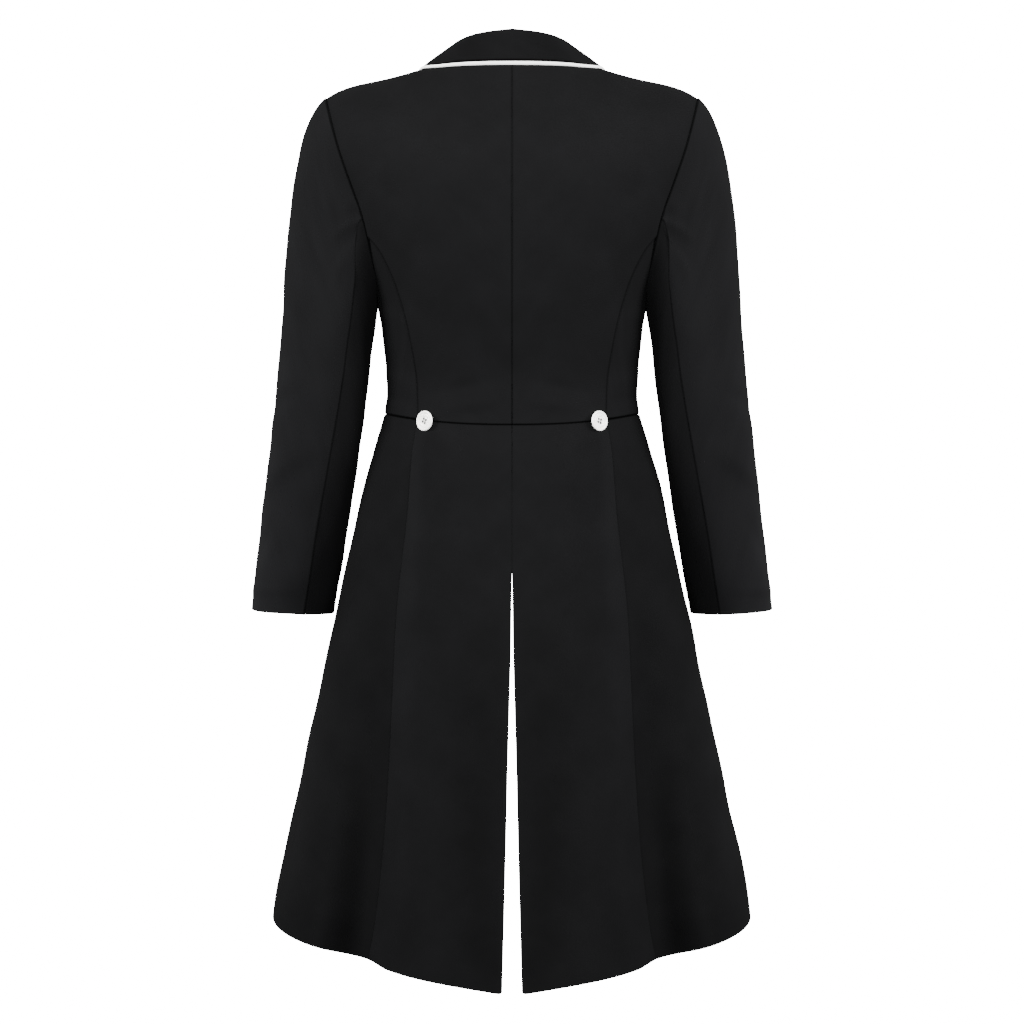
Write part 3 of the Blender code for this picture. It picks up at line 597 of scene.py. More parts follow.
@dataclass(frozen=True)
class TailForm:
    """The outer face of the tails, from the waist seam, 0, to the hem, 1."""

    torso: TorsoForm
    rows: tuple[TailRow, ...] = (
        TailRow(0.00, 0.1350, 0.083, 0.098, 0.0975, 0.000, 0.0000),
        TailRow(0.06, 0.1452, 0.092, 0.099, 0.1030, 0.003, 0.0000),
        TailRow(0.17, 0.1600, 0.106, 0.098, 0.1076, 0.008, 0.0000),
        TailRow(0.37, 0.1840, 0.129, 0.094, 0.1190, 0.018, 0.0010),
        TailRow(0.61, 0.2100, 0.155, 0.090, 0.1250, 0.031, 0.0045),
        TailRow(0.77, 0.2280, 0.172, 0.086, 0.1305, 0.042, 0.0066),
        TailRow(0.93, 0.2475, 0.188, 0.082, 0.1400, 0.052, 0.0090),
        TailRow(1.00, 0.2530, 0.195, 0.080, 0.1470, 0.056, 0.0100),
    )
    vent_top: float = 0.255
    vent_opens: float = 0.04
    valley_out: float = 0.012
    valley_width: float = 0.036
    hem_side: float = -0.8938
    hem_drop: float = 0.0637
    hem_curve: float = 0.46
    hem_step: float = 0.0035
    hem_step_width: float = 0.020
    front_waist: float = math.radians(-48)
    front_hem: float = math.radians(-6)
    front_curve: float = 0.9
    corner_cut: float = 0.0565
    corner_share: float = 0.85
    vent_corner: float = 0.024
    vent_cut: float = 0.0055
    back_size: tuple[float, float] = (0.140, 0.590)
    side_size: tuple[float, float] = (0.300, 0.570)

    @property
    def vent_sewn(self) -> float:
        """The share of the way down to which the centre seam is sewn."""
        return self.vent_top + self.vent_opens / 3

    @cached_property
    def curves(self) -> dict[str, Curve]:
        """Every column of the table, by its name."""
        return {name: column(self.rows, name) for name in TailRow._fields[1:]}

    def point(self, angle: Points, share: Points) -> Points:
        """Points of the outer face.

        Args:
            angle: Angles round the tails.
            share: Shares of the way down.

        Returns:
            A point for each pair.
        """
        torso, first, last = self.torso, self.rows[0], self.rows[-1]
        behind = np.asarray(angle) > 0
        waist = torso.point(angle, torso.waist_level(angle))
        x = waist[..., 0] + (self.curves["half_width"](share) - first.half_width) * torso.across(angle)
        grown = np.where(
            behind, self.curves["back"](share) - first.back, self.curves["front"](share) - first.front
        )
        y = waist[..., 1] + grown * torso.along(angle)
        out = (x - self.curves["seam"](share) - self.valley_out) / self.valley_width
        y = y - np.where(behind, self.curves["valley"](share) * np.exp(-out * out), 0.0)
        sine = np.maximum(np.sin(angle), 0.0)
        hem = self.hem_side - self.hem_drop * (1 - (1 - sine) ** self.hem_curve)
        step = (last.seam - last.half_width * torso.across(angle)) / self.hem_step_width
        return xyz(x, y, blend(waist[..., 2], hem - self.hem_step * ease(step), share))

    def angle_at(self, x: Points, share: Points) -> Points:
        """The angle at which the tails are this far from the centre."""
        return self.torso.angle_of(x, self.curves["half_width"](share))

    def back_grid(self) -> Points:
        """From the centre seam and vent to the pleat seam.

        Returns:
            Points of the panel's outer face.
        """
        across, down = shares(*self.back_size)
        vent = self.curves["vent"](down) * ease((down - self.vent_top) / self.vent_opens)
        centre = self.angle_at(vent, down)
        seam = self.angle_at(self.curves["seam"](down), down)
        part = np.clip(1 - across / self.vent_corner, 0.0, 1.0)
        return self.point(blend(centre, seam, across), self.rounded(down, part, self.vent_cut))

    def side_grid(self) -> Points:
        """From the pleat seam round to the cut-away front edge, with its rounded corner.

        Returns:
            Points of the panel's outer face.
        """
        across, down = shares(*self.side_size)
        seam = self.angle_at(self.curves["seam"](down), down)
        front = blend(self.front_waist, self.front_hem, down**self.front_curve)
        part = np.clip((across - self.corner_share) / (1 - self.corner_share), 0.0, 1.0)
        return self.point(blend(seam, front, across), self.rounded(down, part, self.corner_cut))

    @staticmethod
    def rounded(down: Points, part: Points, cut: float) -> Points:
        """Shares of the way down, cut short towards an edge so that the hem's corner is round."""
        return down * (1 - cut * (1 - np.sqrt(1 - part * part)))


class ArmRow(NamedTuple):
    """A section of the sleeve: centre, half width, half depth and forward tilt."""

    level: float
    centre_x: float
    centre_y: float
    half_width: float
    half_depth: float
    tilt: float


@dataclass(frozen=True)
class SleeveForm:
    """The outer face of a sleeve: 0 at the armhole, 1 at the end of the cap, 2 at the cuff."""

    torso: TorsoForm
    rows: tuple[ArmRow, ...] = (
        ArmRow(-0.248, 0.1927, 0.004, 0.0464, 0.0590, 0.00),
        ArmRow(-0.290, 0.1964, 0.006, 0.0460, 0.0575, 0.00),
        ArmRow(-0.328, 0.1998, 0.006, 0.0456, 0.0560, 0.02),
        ArmRow(-0.391, 0.2077, 0.000, 0.0450, 0.0520, 0.08),
        ArmRow(-0.455, 0.2167, -0.012, 0.0439, 0.0475, 0.14),
        ArmRow(-0.518, 0.2262, -0.028, 0.0428, 0.0425, 0.14),
        ArmRow(-0.5735, 0.2345, -0.045, 0.0410, 0.0375, 0.05),
    )
    lean: float = 0.04
    cap_end: float = -0.290
    cuff: float = -0.5735
    start_pull: float = 0.56
    under_pull: float = 0.16
    end_pull: float = 0.90
    fold: float = math.radians(165)
    fold_from: float = 80
    radius: float = 0.050
    length: float = 0.500
    seam_start: float = 102
    seam_below: float = 117
    seam_settles: float = 0.5
    seam_drift: float = 9
    seam_drift_reach: float = 0.75
    seam_bow: float = 3.5
    seam_bow_down: float = 0.7
    seam_bow_reach: float = 0.35
    look_round: float = 2.0
    look_down: float = 0.005

    @cached_property
    def curves(self) -> dict[str, Curve]:
        """Every column of the table, by its name."""
        return {name: column(self.rows, name) for name in ArmRow._fields[1:]}

    def tube(self, turn: Points, level: Points) -> Points:
        """Points below the cap.

        Args:
            turn: Turns round the sleeve in degrees.
            level: Levels, before the sleeve's own tilt.

        Returns:
            A point for each pair.
        """
        turn = np.radians(turn)
        read = {name: curve(level) for name, curve in self.curves.items()}
        out = read["half_width"] * np.cos(turn)
        behind = read["half_depth"] * np.sin(turn)
        rise = self.lean * out - read["tilt"] * behind
        return xyz(read["centre_x"] + out, read["centre_y"] + behind, level + rise)

    def point(self, turn: Points, down: Points) -> Points:
        """Points of the outer face. The cap curves from the armhole's own direction into the tube.

        Args:
            turn: Turns in degrees.
            down: 0 at the armhole, 1 at the end of the cap, 2 at the cuff.

        Returns:
            A point for each pair.
        """
        torso = self.torso
        start = torso.point(*torso.armhole(turn))
        before, after = torso.armhole(turn - self.look_round), torso.armhole(turn + self.look_round)
        run = unit(torso.point(*after) - torso.point(*before))
        normal = torso.facing(*torso.armhole(turn))
        away = unit(np.cross(run, normal))
        from_top = np.minimum(np.mod(turn, 360), 360 - np.mod(turn, 360))
        under = ease((from_top - self.fold_from) / (180 - self.fold_from))[..., None]
        fold, pull = self.fold * under, blend(self.start_pull, self.under_pull, under)
        leaves = away * np.cos(fold) + normal * np.sin(fold)
        end = self.tube(turn, np.full_like(turn, self.cap_end))
        below = self.tube(turn, np.full_like(turn, self.cap_end - self.look_down))
        chord = np.linalg.norm(end - start, axis=-1, keepdims=True)
        t = np.clip(down, 0.0, 1.0)[..., None]
        cap = (
            start * ((1 + 2 * t) * (1 - t) ** 2)
            + leaves * (t * (1 - t) ** 2 * chord * pull)
            + end * (t * t * (3 - 2 * t))
            + unit(below - end) * (t * t * (t - 1) * chord * self.end_pull)
        )
        tube = self.tube(turn, blend(self.cap_end, self.cuff, np.clip(down - 1, 0.0, 1.0)))
        return np.where((np.asarray(down) >= 1)[..., None], tube, cap)

    def back_seam(self, down: Points) -> Points:
        """The turn of the back seam, which swings in below the armhole.

        Args:
            down: 0 at the armhole, 1 at the end of the cap, 2 at the cuff.

        Returns:
            The turn in degrees at each.
        """
        bow = self.seam_bow * np.exp(-(((down - self.seam_bow_down) / self.seam_bow_reach) ** 2))
        drift = self.seam_drift * ease((down - 1) / self.seam_drift_reach)
        return blend(self.seam_start, self.seam_below + bow, ease(down / self.seam_settles)) - drift

    def spread(self, upper: bool) -> tuple[Points, Points]:
        """Spreads a panel's points over the sleeve.

        Args:
            upper: Whether it is the upper sleeve.

        Returns:
            The turn and the way down of each point.
        """
        front = self.torso.front_join
        span = front + self.torso.back_join if upper else 360 - front - self.torso.back_join
        across, down = shares(math.radians(span) * self.radius, self.length)
        down = 2 * down
        seam = self.back_seam(down)
        turn = blend(-front, seam, across) if upper else blend(seam, 360 - front, across)
        return turn, np.broadcast_to(down, turn.shape)


class Crease(NamedTuple):
    """A soft fold between two places on a panel: a ridge where its height is over 0."""

    start_x: float
    start_z: float
    end_x: float
    end_z: float
    width: float
    height: float


def relief(x: Points, z: Points, creases: Sequence[Crease]) -> Points:
    """How far the creases lift the cloth.

    Args:
        x: Distance across the panel.
        z: Height on the panel.
        creases: The folds, each with soft sides and fading ends.

    Returns:
        The lift along the cloth's own direction, in metres.
    """
    lift = np.zeros(np.shape(x))
    for crease in creases:
        run_x, run_z = crease.end_x - crease.start_x, crease.end_z - crease.start_z
        share = ((x - crease.start_x) * run_x + (z - crease.start_z) * run_z) / (run_x**2 + run_z**2)
        share = np.clip(share, 0.0, 1.0)
        away = np.hypot(x - crease.start_x - run_x * share, z - crease.start_z - run_z * share)
        along = np.sin(math.pi * (FADE_START + FADE_SPAN * share))
        lift += crease.height * along * np.exp(-((away / crease.width) ** 2))
    return lift


def slow_waves(x: Points, z: Points, seed: int, height: float) -> Points:
    """The faint unevenness of pressed cloth: a few long waves in several directions.

    Args:
        x: Distance across the panel.
        z: Height on the panel.
        seed: Settles the waves.
        height: How high most of them reach together.

    Returns:
        The lift along the cloth's own direction.
    """
    draw = np.random.default_rng(seed)
    lift = np.zeros(np.shape(x))
    for _ in range(WAVE_COUNT):
        turn, length = draw.uniform(0, math.pi), draw.uniform(*WAVE_LENGTHS)
        start = draw.uniform(0, WAVE_STARTS)
        lift += np.sin(2 * math.pi * (x * math.cos(turn) + z * math.sin(turn)) / length + start)
    return lift * height / 3


@dataclass
class Panel:
    """A cut piece of cloth as a grid of points on its outer face, rows down and columns across."""

    name: str
    grid: Points
    edges: tuple[Edge, Edge, Edge, Edge]
    outward: int = 1
    # painted light: the share of light wool colour at the panel's top and bottom, and the curve between them
    tone: tuple[float, float] = (0.5, 0.5)
    painted_light_curve: float = 1.0
    # painted highlight on crease ridges and painted shade in crease hollows, per metre of the crease's lift
    ridge_painted_highlight: float = 24.0
    hollow_painted_shade: float = 24.0
    sewn_share: float = 0.0
    inset: float = 0.0
    thickness: float = CLOTH
    seam_depth: float = 0.0015
    seam_width: float = 0.0019
    seam_tuck: float = 0.0005
    # width of the painted shade that darkens the colour along each sewn seam's groove
    painted_seam_shade_width: float = 0.0012
    pressed_share: float = 0.5
    sewn_strength: float = 1.0
    vent_share: float = 0.12
    # painted highlight along a pleat's pressed edge, and its width at the top and the bottom
    pleat_painted_highlight: float = 0.12
    pleat_painted_highlight_width: tuple[float, float] = (0.010, 0.052)
    # the creases' painted light and shade, set when the panel is creased
    crease_painted_light: Points | float = 0.0
    seam_calm: float = 0.012
    pleat_rise: float = 0.0022
    pleat_width: float = 0.012
    pleat_tuck: float = 0.0025
    pleat_full: float = 0.25
    edge_round: float = 0.6
    stitch_lift: float = 0.0002

    def normals(self) -> Points:
        """The direction out of the cloth at each point."""
        down, over = np.gradient(self.grid, axis=0), np.gradient(self.grid, axis=1)
        return unit(np.cross(over, down)) * self.outward

    def lifted(self, lift: Points) -> "Panel":
        """Moves the points out along their own directions."""
        self.grid = self.grid + self.normals() * np.asarray(lift)[..., None]
        return self

    def creased(self, x: Points, z: Points, creases: Sequence[Crease], seed: int, waves: float) -> "Panel":
        """Adds the creases and the cloth's slow waves, which die away at the seams, and paints light on the
        creases' ridges and shade in their hollows.

        Args:
            x: The creases' own measure across the panel.
            z: The same down it.
            creases: The folds, listed one by one.
            seed: Settles the waves.
            waves: The waves' height.

        Returns:
            The panel itself.
        """
        calm = np.ones(self.grid.shape[:2])
        for edge, distance in zip(self.edges, self.reach()):
            if edge is not Edge.HEM:
                calm *= ease(distance / self.seam_calm)
        folds = relief(x, z, creases) * calm
        # painted highlight on the crease ridges, painted shade in the crease hollows
        self.crease_painted_light = folds * np.where(folds > 0, self.ridge_painted_highlight, self.hollow_painted_shade)
        return self.lifted(folds + slow_waves(x, z, seed, waves) * calm - self.inset)

    def relaxed(self, rounds: int = 40, margin: float = 0.018) -> "Panel":
        """Evens out the form from row to row, away from the edges.

        Args:
            rounds: How often.
            margin: How far from an edge it is at full strength.

        Returns:
            The panel itself.
        """
        hold = np.ones(self.grid.shape[:2])
        for distance in self.reach():
            hold *= ease(distance / margin)
        for _ in range(rounds):
            middle = (self.grid[:-2] + self.grid[2:]) / 2
            self.grid[1:-1] += (middle - self.grid[1:-1]) * hold[1:-1, :, None] / 2
        return self

    def painted_light_map(self) -> Points:
        """Painted light and shade: each panel's own share from top to bottom, lighter on crease ridges and
        along the pleat's edge, darker in crease hollows.

        Returns:
            0 for the darkest painted shade to 1 for the lightest painted light, point by point.
        """
        down, bottom = self.reach()[:2]
        share = down / (down + bottom)
        painted_light_share = blend(*self.tone, share**self.painted_light_curve) + self.crease_painted_light
        # painted highlight along the pleat's edge
        for edge, distance in zip(self.edges, self.reach()):
            if edge is Edge.PLEAT:
                width = blend(*self.pleat_painted_highlight_width, share)
                painted_light_share = painted_light_share + self.pleat_painted_highlight * np.exp(-((distance / width) ** 4))
        return np.clip(painted_light_share, 0.0, 1.0)

    def sewn(self, edge: Edge) -> Points:
        """Which part of an edge is sewn to the next panel.

        Args:
            edge: How the edge is finished.

        Returns:
            1 where it is sewn and 0 where it is free, point by point.
        """
        if edge is Edge.SEAM_THEN_HEM:
            down, bottom = self.reach()[:2]
            return (down / (down + bottom) <= self.sewn_share).astype(float)
        return np.full(self.grid.shape[:2], float(edge not in (Edge.HEM, Edge.PLEAT)))

    def strength(self, edge: Edge) -> float:
        """How deep a seam's groove is and how dark its painted shade is: a seam pressed open hardly shows.
        """
        depths = {Edge.PRESSED: self.pressed_share, Edge.SEAM: self.sewn_strength}
        return (depths | {Edge.SEAM_THEN_HEM: self.vent_share}).get(edge, 1.0)

    def shade(self) -> Points:
        """Painted shade: how far the wool's colour is darkened in each seam's groove, where its shadow
        falls.

        Returns:
            0 on the open cloth to 1 for the darkest painted shade in the groove, point by point.
        """
        deep = np.zeros(self.grid.shape[:2])
        for edge, distance in zip(self.edges, self.reach()):
            groove = self.sewn(edge) * self.strength(edge)
            deep = np.maximum(deep, groove * np.exp(-((distance / self.painted_seam_shade_width) ** 4)))
        return deep

    def reach(self) -> tuple[Points, Points, Points, Points]:
        """How far each point is from the panel's four edges.

        Returns:
            Distances along the cloth from the top, the bottom, the first column and the last one.
        """
        rows = np.linalg.norm(np.diff(self.grid, axis=0), axis=-1)
        columns = np.linalg.norm(np.diff(self.grid, axis=1), axis=-1)
        down = np.concatenate([np.zeros_like(rows[:1]), np.cumsum(rows, axis=0)])
        over = np.concatenate([np.zeros_like(columns[:, :1]), np.cumsum(columns, axis=1)], axis=1)
        return down, down[-1:] - down, over, over[:, -1:] - over

    def faces_moved(self) -> tuple[Points, Points]:
        """The two faces of the cloth, with each edge turned in or rounded.

        Returns:
            The outer and the inner points.
        """
        normal = self.normals()
        outer_dip, inner_dip = np.zeros(self.grid.shape[:2]), np.zeros(self.grid.shape[:2])
        down_share = np.linspace(0, 1, len(self.grid))[:, None]
        for edge, distance in zip(self.edges, self.reach()):
            sewn = self.sewn(edge)
            width = self.pleat_width if edge is Edge.UNDER_PLEAT else self.seam_width
            depth = self.seam_depth * self.strength(edge)
            outer_dip += sewn * depth * np.clip(1 - distance / width, 0, 1) ** 2
            if edge is Edge.PLEAT:
                rise = self.pleat_rise * ease(down_share / self.pleat_full)
                outer_dip -= rise * np.clip(1 - distance / self.pleat_width, 0, 1) ** 2
            turn = np.clip(1 - distance / (self.thickness * self.edge_round), 0, 1)
            round_off = (1 - sewn) * self.thickness / 2 * (1 - np.sqrt(1 - turn**2))
            outer_dip, inner_dip = outer_dip + round_off, inner_dip + round_off
        outer = self.grid - normal * outer_dip[..., None]
        inner = self.grid - normal * (self.thickness - inner_dip)[..., None]
        every = slice(None)
        lines = ((0, every), (-1, every), (every, 0), (every, -1))
        nexts = ((1, every), (-2, every), (every, 1), (every, -2))
        for edge, line, beside in zip(self.edges, lines, nexts):
            tuck = self.sewn(edge)[line] * (self.pleat_tuck if edge is Edge.UNDER_PLEAT else self.seam_tuck)
            away = unit(self.grid[line] - self.grid[beside]) * tuck[:, None]
            outer[line] += away
            inner[line] += away
        return outer, inner

    def path(self, row: float | None = None, over: float | None = None, inset: float = 0.0) -> Points:
        """A line on the cloth, for stitches.

        Args:
            row: The share of the way down for a line across, or None.
            over: 0 or 1 for a line beside the first or the last column, or None.
            inset: How far the line lies inside that edge.

        Returns:
            The line's points, a hair above the cloth.
        """
        grid = self.grid + self.normals() * self.stitch_lift
        top, bottom, first, last = self.reach()
        if row is not None:
            distance = top if row == 0 else bottom
            return np.array([self.at(grid[:, j], distance[:, j], inset) for j in range(grid.shape[1])])
        distance = first if over == 0 else last
        return np.array([self.at(grid[i], distance[i], inset) for i in range(grid.shape[0])])

    @staticmethod
    def at(line: Points, distance: Points, inset: float) -> Points:
        """The point of a line at a distance from its edge."""
        order = np.argsort(distance)
        return np.array([np.interp(inset, distance[order], line[order, k]) for k in range(3)])

    def mirrored(self, name: str) -> "Panel":
        """The same piece for the wearer's other side."""
        return replace(self, name=name, grid=self.grid * (-1, 1, 1), outward=-self.outward)

    def build(self) -> bpy.types.Object:
        """Makes the closed shell, with a UV map in metres along the cloth.

        Returns:
            The finished object, at the origin.
        """
        outer, inner = self.faces_moved()
        rows, columns = outer.shape[:2]
        index = np.arange(rows * columns).reshape(rows, columns)
        quads = np.stack([index[:-1, :-1], index[:-1, 1:], index[1:, 1:], index[1:, :-1]], axis=-1)
        faces = np.concatenate([quads.reshape(-1, 4)[:, ::-1], quads.reshape(-1, 4) + rows * columns])
        rim = np.concatenate([index[0], index[1:, -1], index[-1, -2::-1], index[-2:0:-1, 0]])
        after = np.roll(rim, -1)
        rim_faces = np.stack([rim, after, after + rows * columns, rim + rows * columns], axis=-1)
        faces = np.concatenate([faces, rim_faces])
        if self.outward > 0:
            faces = faces[:, ::-1]
        points = np.concatenate([outer.reshape(-1, 3), inner.reshape(-1, 3)])
        down, _, over, _ = self.reach()
        flat = np.stack([over, -down], axis=-1).reshape(-1, 2)
        made = mesh_object(self.name, points, faces[:, ::-1], np.concatenate([flat, flat]))
        # both attributes are painted light: "seam" is painted shade in the seam grooves, "nap" is painted
        # light and shade by panel, height, crease and pleat edge
        for name, values in (("seam", self.shade().ravel()), ("nap", self.painted_light_map().ravel())):
            layer = made.data.attributes.new(name, "FLOAT", "POINT")
            layer.data.foreach_set("value", np.concatenate([values, values]).astype(np.float32))
        return made


def placed(name: str, data: bpy.types.ID) -> bpy.types.Object:
    """Makes an object of a mesh, a lamp or a camera, at the origin and linked to the scene.

    Args:
        name: The object's name.
        data: What it shows.

    Returns:
        The object.
    """
    made = bpy.data.objects.new(name, data)
    bpy.context.scene.collection.objects.link(made)
    return made


def plain_mesh(name: str, shape: bmesh.types.BMesh) -> bpy.types.Mesh:
    """Turns a worked shape into a mesh and frees it.

    Args:
        name: The mesh's name.
        shape: The shape.

    Returns:
        The mesh.
    """
    mesh = bpy.data.meshes.new(name)
    shape.to_mesh(mesh)
    shape.free()
    return mesh


def mesh_of(name: str, points: Points, faces: Sequence[Sequence[int]]) -> bpy.types.Mesh:
    """Makes a mesh of corners and faces.

    Args:
        name: The mesh's name.
        points: Its corners.
        faces: The corners' indices, face by face.

    Returns:
        The mesh.
    """
    mesh = bpy.data.meshes.new(name)
    mesh.from_pydata(points.tolist(), [], faces)
    mesh.update()
    return mesh


def worked_mesh(made: bpy.types.Object, *tools: bpy.types.Object) -> bpy.types.Mesh:
    """Turns what an object's modifiers make into a plain mesh, and removes the object and its tools.

    Args:
        made: The object with the modifiers.
        tools: Objects that the modifiers use.

    Returns:
        The mesh.
    """
    mesh = bpy.data.meshes.new_from_object(made.evaluated_get(bpy.context.evaluated_depsgraph_get()))
    made.modifiers.clear()
    for thing in (made, *tools):
        bpy.data.objects.remove(thing)
    return mesh


def mesh_object(name: str, points: Points, faces: Points, flat: Points | None = None) -> bpy.types.Object:
    """Makes a smooth object of points and faces.

    Args:
        name: The object's name.
        points: Its corners.
        faces: The corners' indices, face by face.
        flat: A place on the cut cloth for each corner, or None.

    Returns:
        The object, linked to the scene.
    """
    mesh = mesh_of(name, points, faces.tolist())
    if flat is not None:
        layer = mesh.uv_layers.new(name="weave")
        corners = np.empty(len(mesh.loops), np.int32)
        mesh.loops.foreach_get("vertex_index", corners)
        layer.data.foreach_set("uv", flat[corners].astype(np.float32).ravel())
    mesh.shade_smooth()
    mesh.update()
    return placed(name, mesh)


def linear(code: str) -> tuple[float, float, float, float]:
    """An sRGB hex colour as linear values with full alpha."""
    parts = (int(code[i : i + 2], 16) / 255 for i in (1, 3, 5))
    return (*(p / 12.92 if p <= 0.04045 else ((p + 0.055) / 1.055) ** 2.4 for p in parts), 1.0)


def add_node(tree: bpy.types.NodeTree, kind: str, settings: dict, inputs: dict) -> bpy.types.Node:
    """Adds a node.

    Args:
        tree: Where it goes.
        kind: Its type's name.
        settings: Its own properties.
        inputs: A value or another node's socket for each named or numbered input.

    Returns:
        The node.
    """
    node = tree.nodes.new(kind)
    for name, value in settings.items():
        setattr(node, name, value)
    for name, value in inputs.items():
        if isinstance(value, bpy.types.NodeSocket):
            tree.links.new(value, node.inputs[name])
        else:
            node.inputs[name].default_value = value
    return node


def new_material(name: str) -> tuple[bpy.types.Material, bpy.types.NodeTree]:
    """A material with an empty node tree.

    Args:
        name: Its name.

    Returns:
        The material and its tree.
    """
    material = bpy.data.materials.new(name)
    material.use_nodes = True
    material.node_tree.nodes.clear()
    return material, material.node_tree


@dataclass(frozen=True)
class WoolTwill:
    """Wool twill, woven, milled and pressed: near black and matte, with a short nap that lights its rims."""

    # the colour's two ends: both the random mottle and the painted light and shade of the "nap" attribute
    # mix between them
    flat_nap_and_painted_shade: str = "#060606"
    raised_nap_and_painted_light: str = "#151516"
    # painted shadow colour in the seam grooves
    painted_seam_shadow: str = "#020202"
    mottle: float = 0.07
    roughness: float = 0.95
    specular: float = 0.0
    sheen: float = 0.004
    sheen_roughness: float = 0.45
    rib: float = 0.0021
    rib_slant: float = math.radians(58)
    nap: float = 0.0009
    cloud: float = 1 / 22

    def build(self) -> bpy.types.Material:
        """Makes the material. Real ribs are near 0.6 mm apart, too fine to show, so these are 2.1 mm apart.

        Returns:
            The material.
        """
        material, tree = new_material("wool_twill_milled")
        place = add_node(tree, "ShaderNodeUVMap", {"uv_map": "weave"}, {}).outputs["UV"]
        turned = add_node(
            tree, "ShaderNodeMapping", {}, {"Vector": place, "Rotation": (0, 0, self.rib_slant)}
        )
        ribs = add_node(
            tree,
            "ShaderNodeTexWave",
            {"wave_type": "BANDS", "bands_direction": "X", "wave_profile": "SIN"},
            {"Vector": turned.outputs[0], "Scale": BAND / self.rib, "Distortion": 1.2, "Detail": 2.0,
             "Detail Scale": 2.0},
        )
        nap = add_node(
            tree, "ShaderNodeTexNoise", {}, {"Vector": place, "Scale": 1 / self.nap, "Detail": 3.0}
        )
        cloud = add_node(
            tree, "ShaderNodeTexNoise", {},
            {"Vector": place, "Scale": 1 / self.cloud, "Detail": 4.0, "Roughness": 0.6},
        )
        mottle = add_node(
            tree, "ShaderNodeMath", {"operation": "MULTIPLY_ADD"},
            {0: nap.outputs["Fac"], 1: 0.45, 2: cloud.outputs["Fac"]},
        )
        uneven = add_node(
            tree, "ShaderNodeMapRange", {},
            {"Value": mottle.outputs[0], "From Min": 0.45, "From Max": 1.0, "To Min": -self.mottle,
             "To Max": self.mottle},
        )
        # the "nap" attribute holds painted light and shade by panel, crease and pleat edge
        painted_light_share = add_node(tree, "ShaderNodeAttribute", {"attribute_name": "nap"}, {}).outputs["Fac"]
        share = add_node(
            tree, "ShaderNodeMath", {"operation": "ADD", "use_clamp": True},
            {0: painted_light_share, 1: uneven.outputs[0]},
        )
        cloth = add_node(
            tree, "ShaderNodeMix", {"data_type": "RGBA"},
            {0: share.outputs[0], 6: linear(self.flat_nap_and_painted_shade), 7: linear(self.raised_nap_and_painted_light)},
        )
        # the "seam" attribute mixes in painted shadow along the seam grooves
        seam = add_node(tree, "ShaderNodeAttribute", {"attribute_name": "seam"}, {}).outputs["Fac"]
        colour = add_node(
            tree, "ShaderNodeMix", {"data_type": "RGBA"},
            {0: seam, 6: cloth.outputs[2], 7: linear(self.painted_seam_shadow)},
        )
        height = add_node(
            tree, "ShaderNodeMath", {"operation": "MULTIPLY_ADD"},
            {0: ribs.outputs["Fac"], 1: 0.5, 2: nap.outputs["Fac"]},
        )
        bump = add_node(
            tree, "ShaderNodeBump", {}, {"Height": height.outputs[0], "Strength": 0.25, "Distance": 0.0002}
        )
        shader = add_node(
            tree, "ShaderNodeBsdfPrincipled", {},
            {"Base Color": colour.outputs[2], "Roughness": self.roughness,
             "Specular IOR Level": self.specular, "Sheen Weight": self.sheen,
             "Sheen Roughness": self.sheen_roughness, "Normal": bump.outputs[0]},
        )
        add_node(tree, "ShaderNodeOutputMaterial", {}, {"Surface": shader.outputs[0]})
        return material


@dataclass(frozen=True)
class SatinPiping:
    """Polyester satin cut on the bias over a cord: clean white, with a faint slanting thread."""

    colour: str = "#e6e6e4"
    shade: str = "#d8d8d6"
    roughness: float = 0.5
    sheen: float = 0.1
    thread: float = 0.0012
    thread_slant: float = math.radians(45)

    def build(self) -> bpy.types.Material:
        """Makes the material.

        Returns:
            The material.
        """
        material, tree = new_material("piping_satin_white")
        place = add_node(tree, "ShaderNodeUVMap", {"uv_map": "weave"}, {}).outputs["UV"]
        turned = add_node(
            tree, "ShaderNodeMapping", {}, {"Vector": place, "Rotation": (0, 0, self.thread_slant)}
        )
        threads = add_node(
            tree, "ShaderNodeTexWave", {"wave_type": "BANDS", "bands_direction": "X"},
            {"Vector": turned.outputs[0], "Scale": BAND / self.thread, "Distortion": 0.8},
        )
        colour = add_node(
            tree, "ShaderNodeMix", {"data_type": "RGBA"},
            {0: threads.outputs["Fac"], 6: linear(self.shade), 7: linear(self.colour)},
        )
        bump = add_node(
            tree, "ShaderNodeBump", {},
            {"Height": threads.outputs["Fac"], "Strength": 0.2, "Distance": 0.0001},
        )
        shader = add_node(
            tree, "ShaderNodeBsdfPrincipled", {},
            {"Base Color": colour.outputs[2], "Roughness": self.roughness, "Sheen Weight": self.sheen,
             "Normal": bump.outputs[0]},
        )
        add_node(tree, "ShaderNodeOutputMaterial", {}, {"Surface": shader.outputs[0]})
        return material


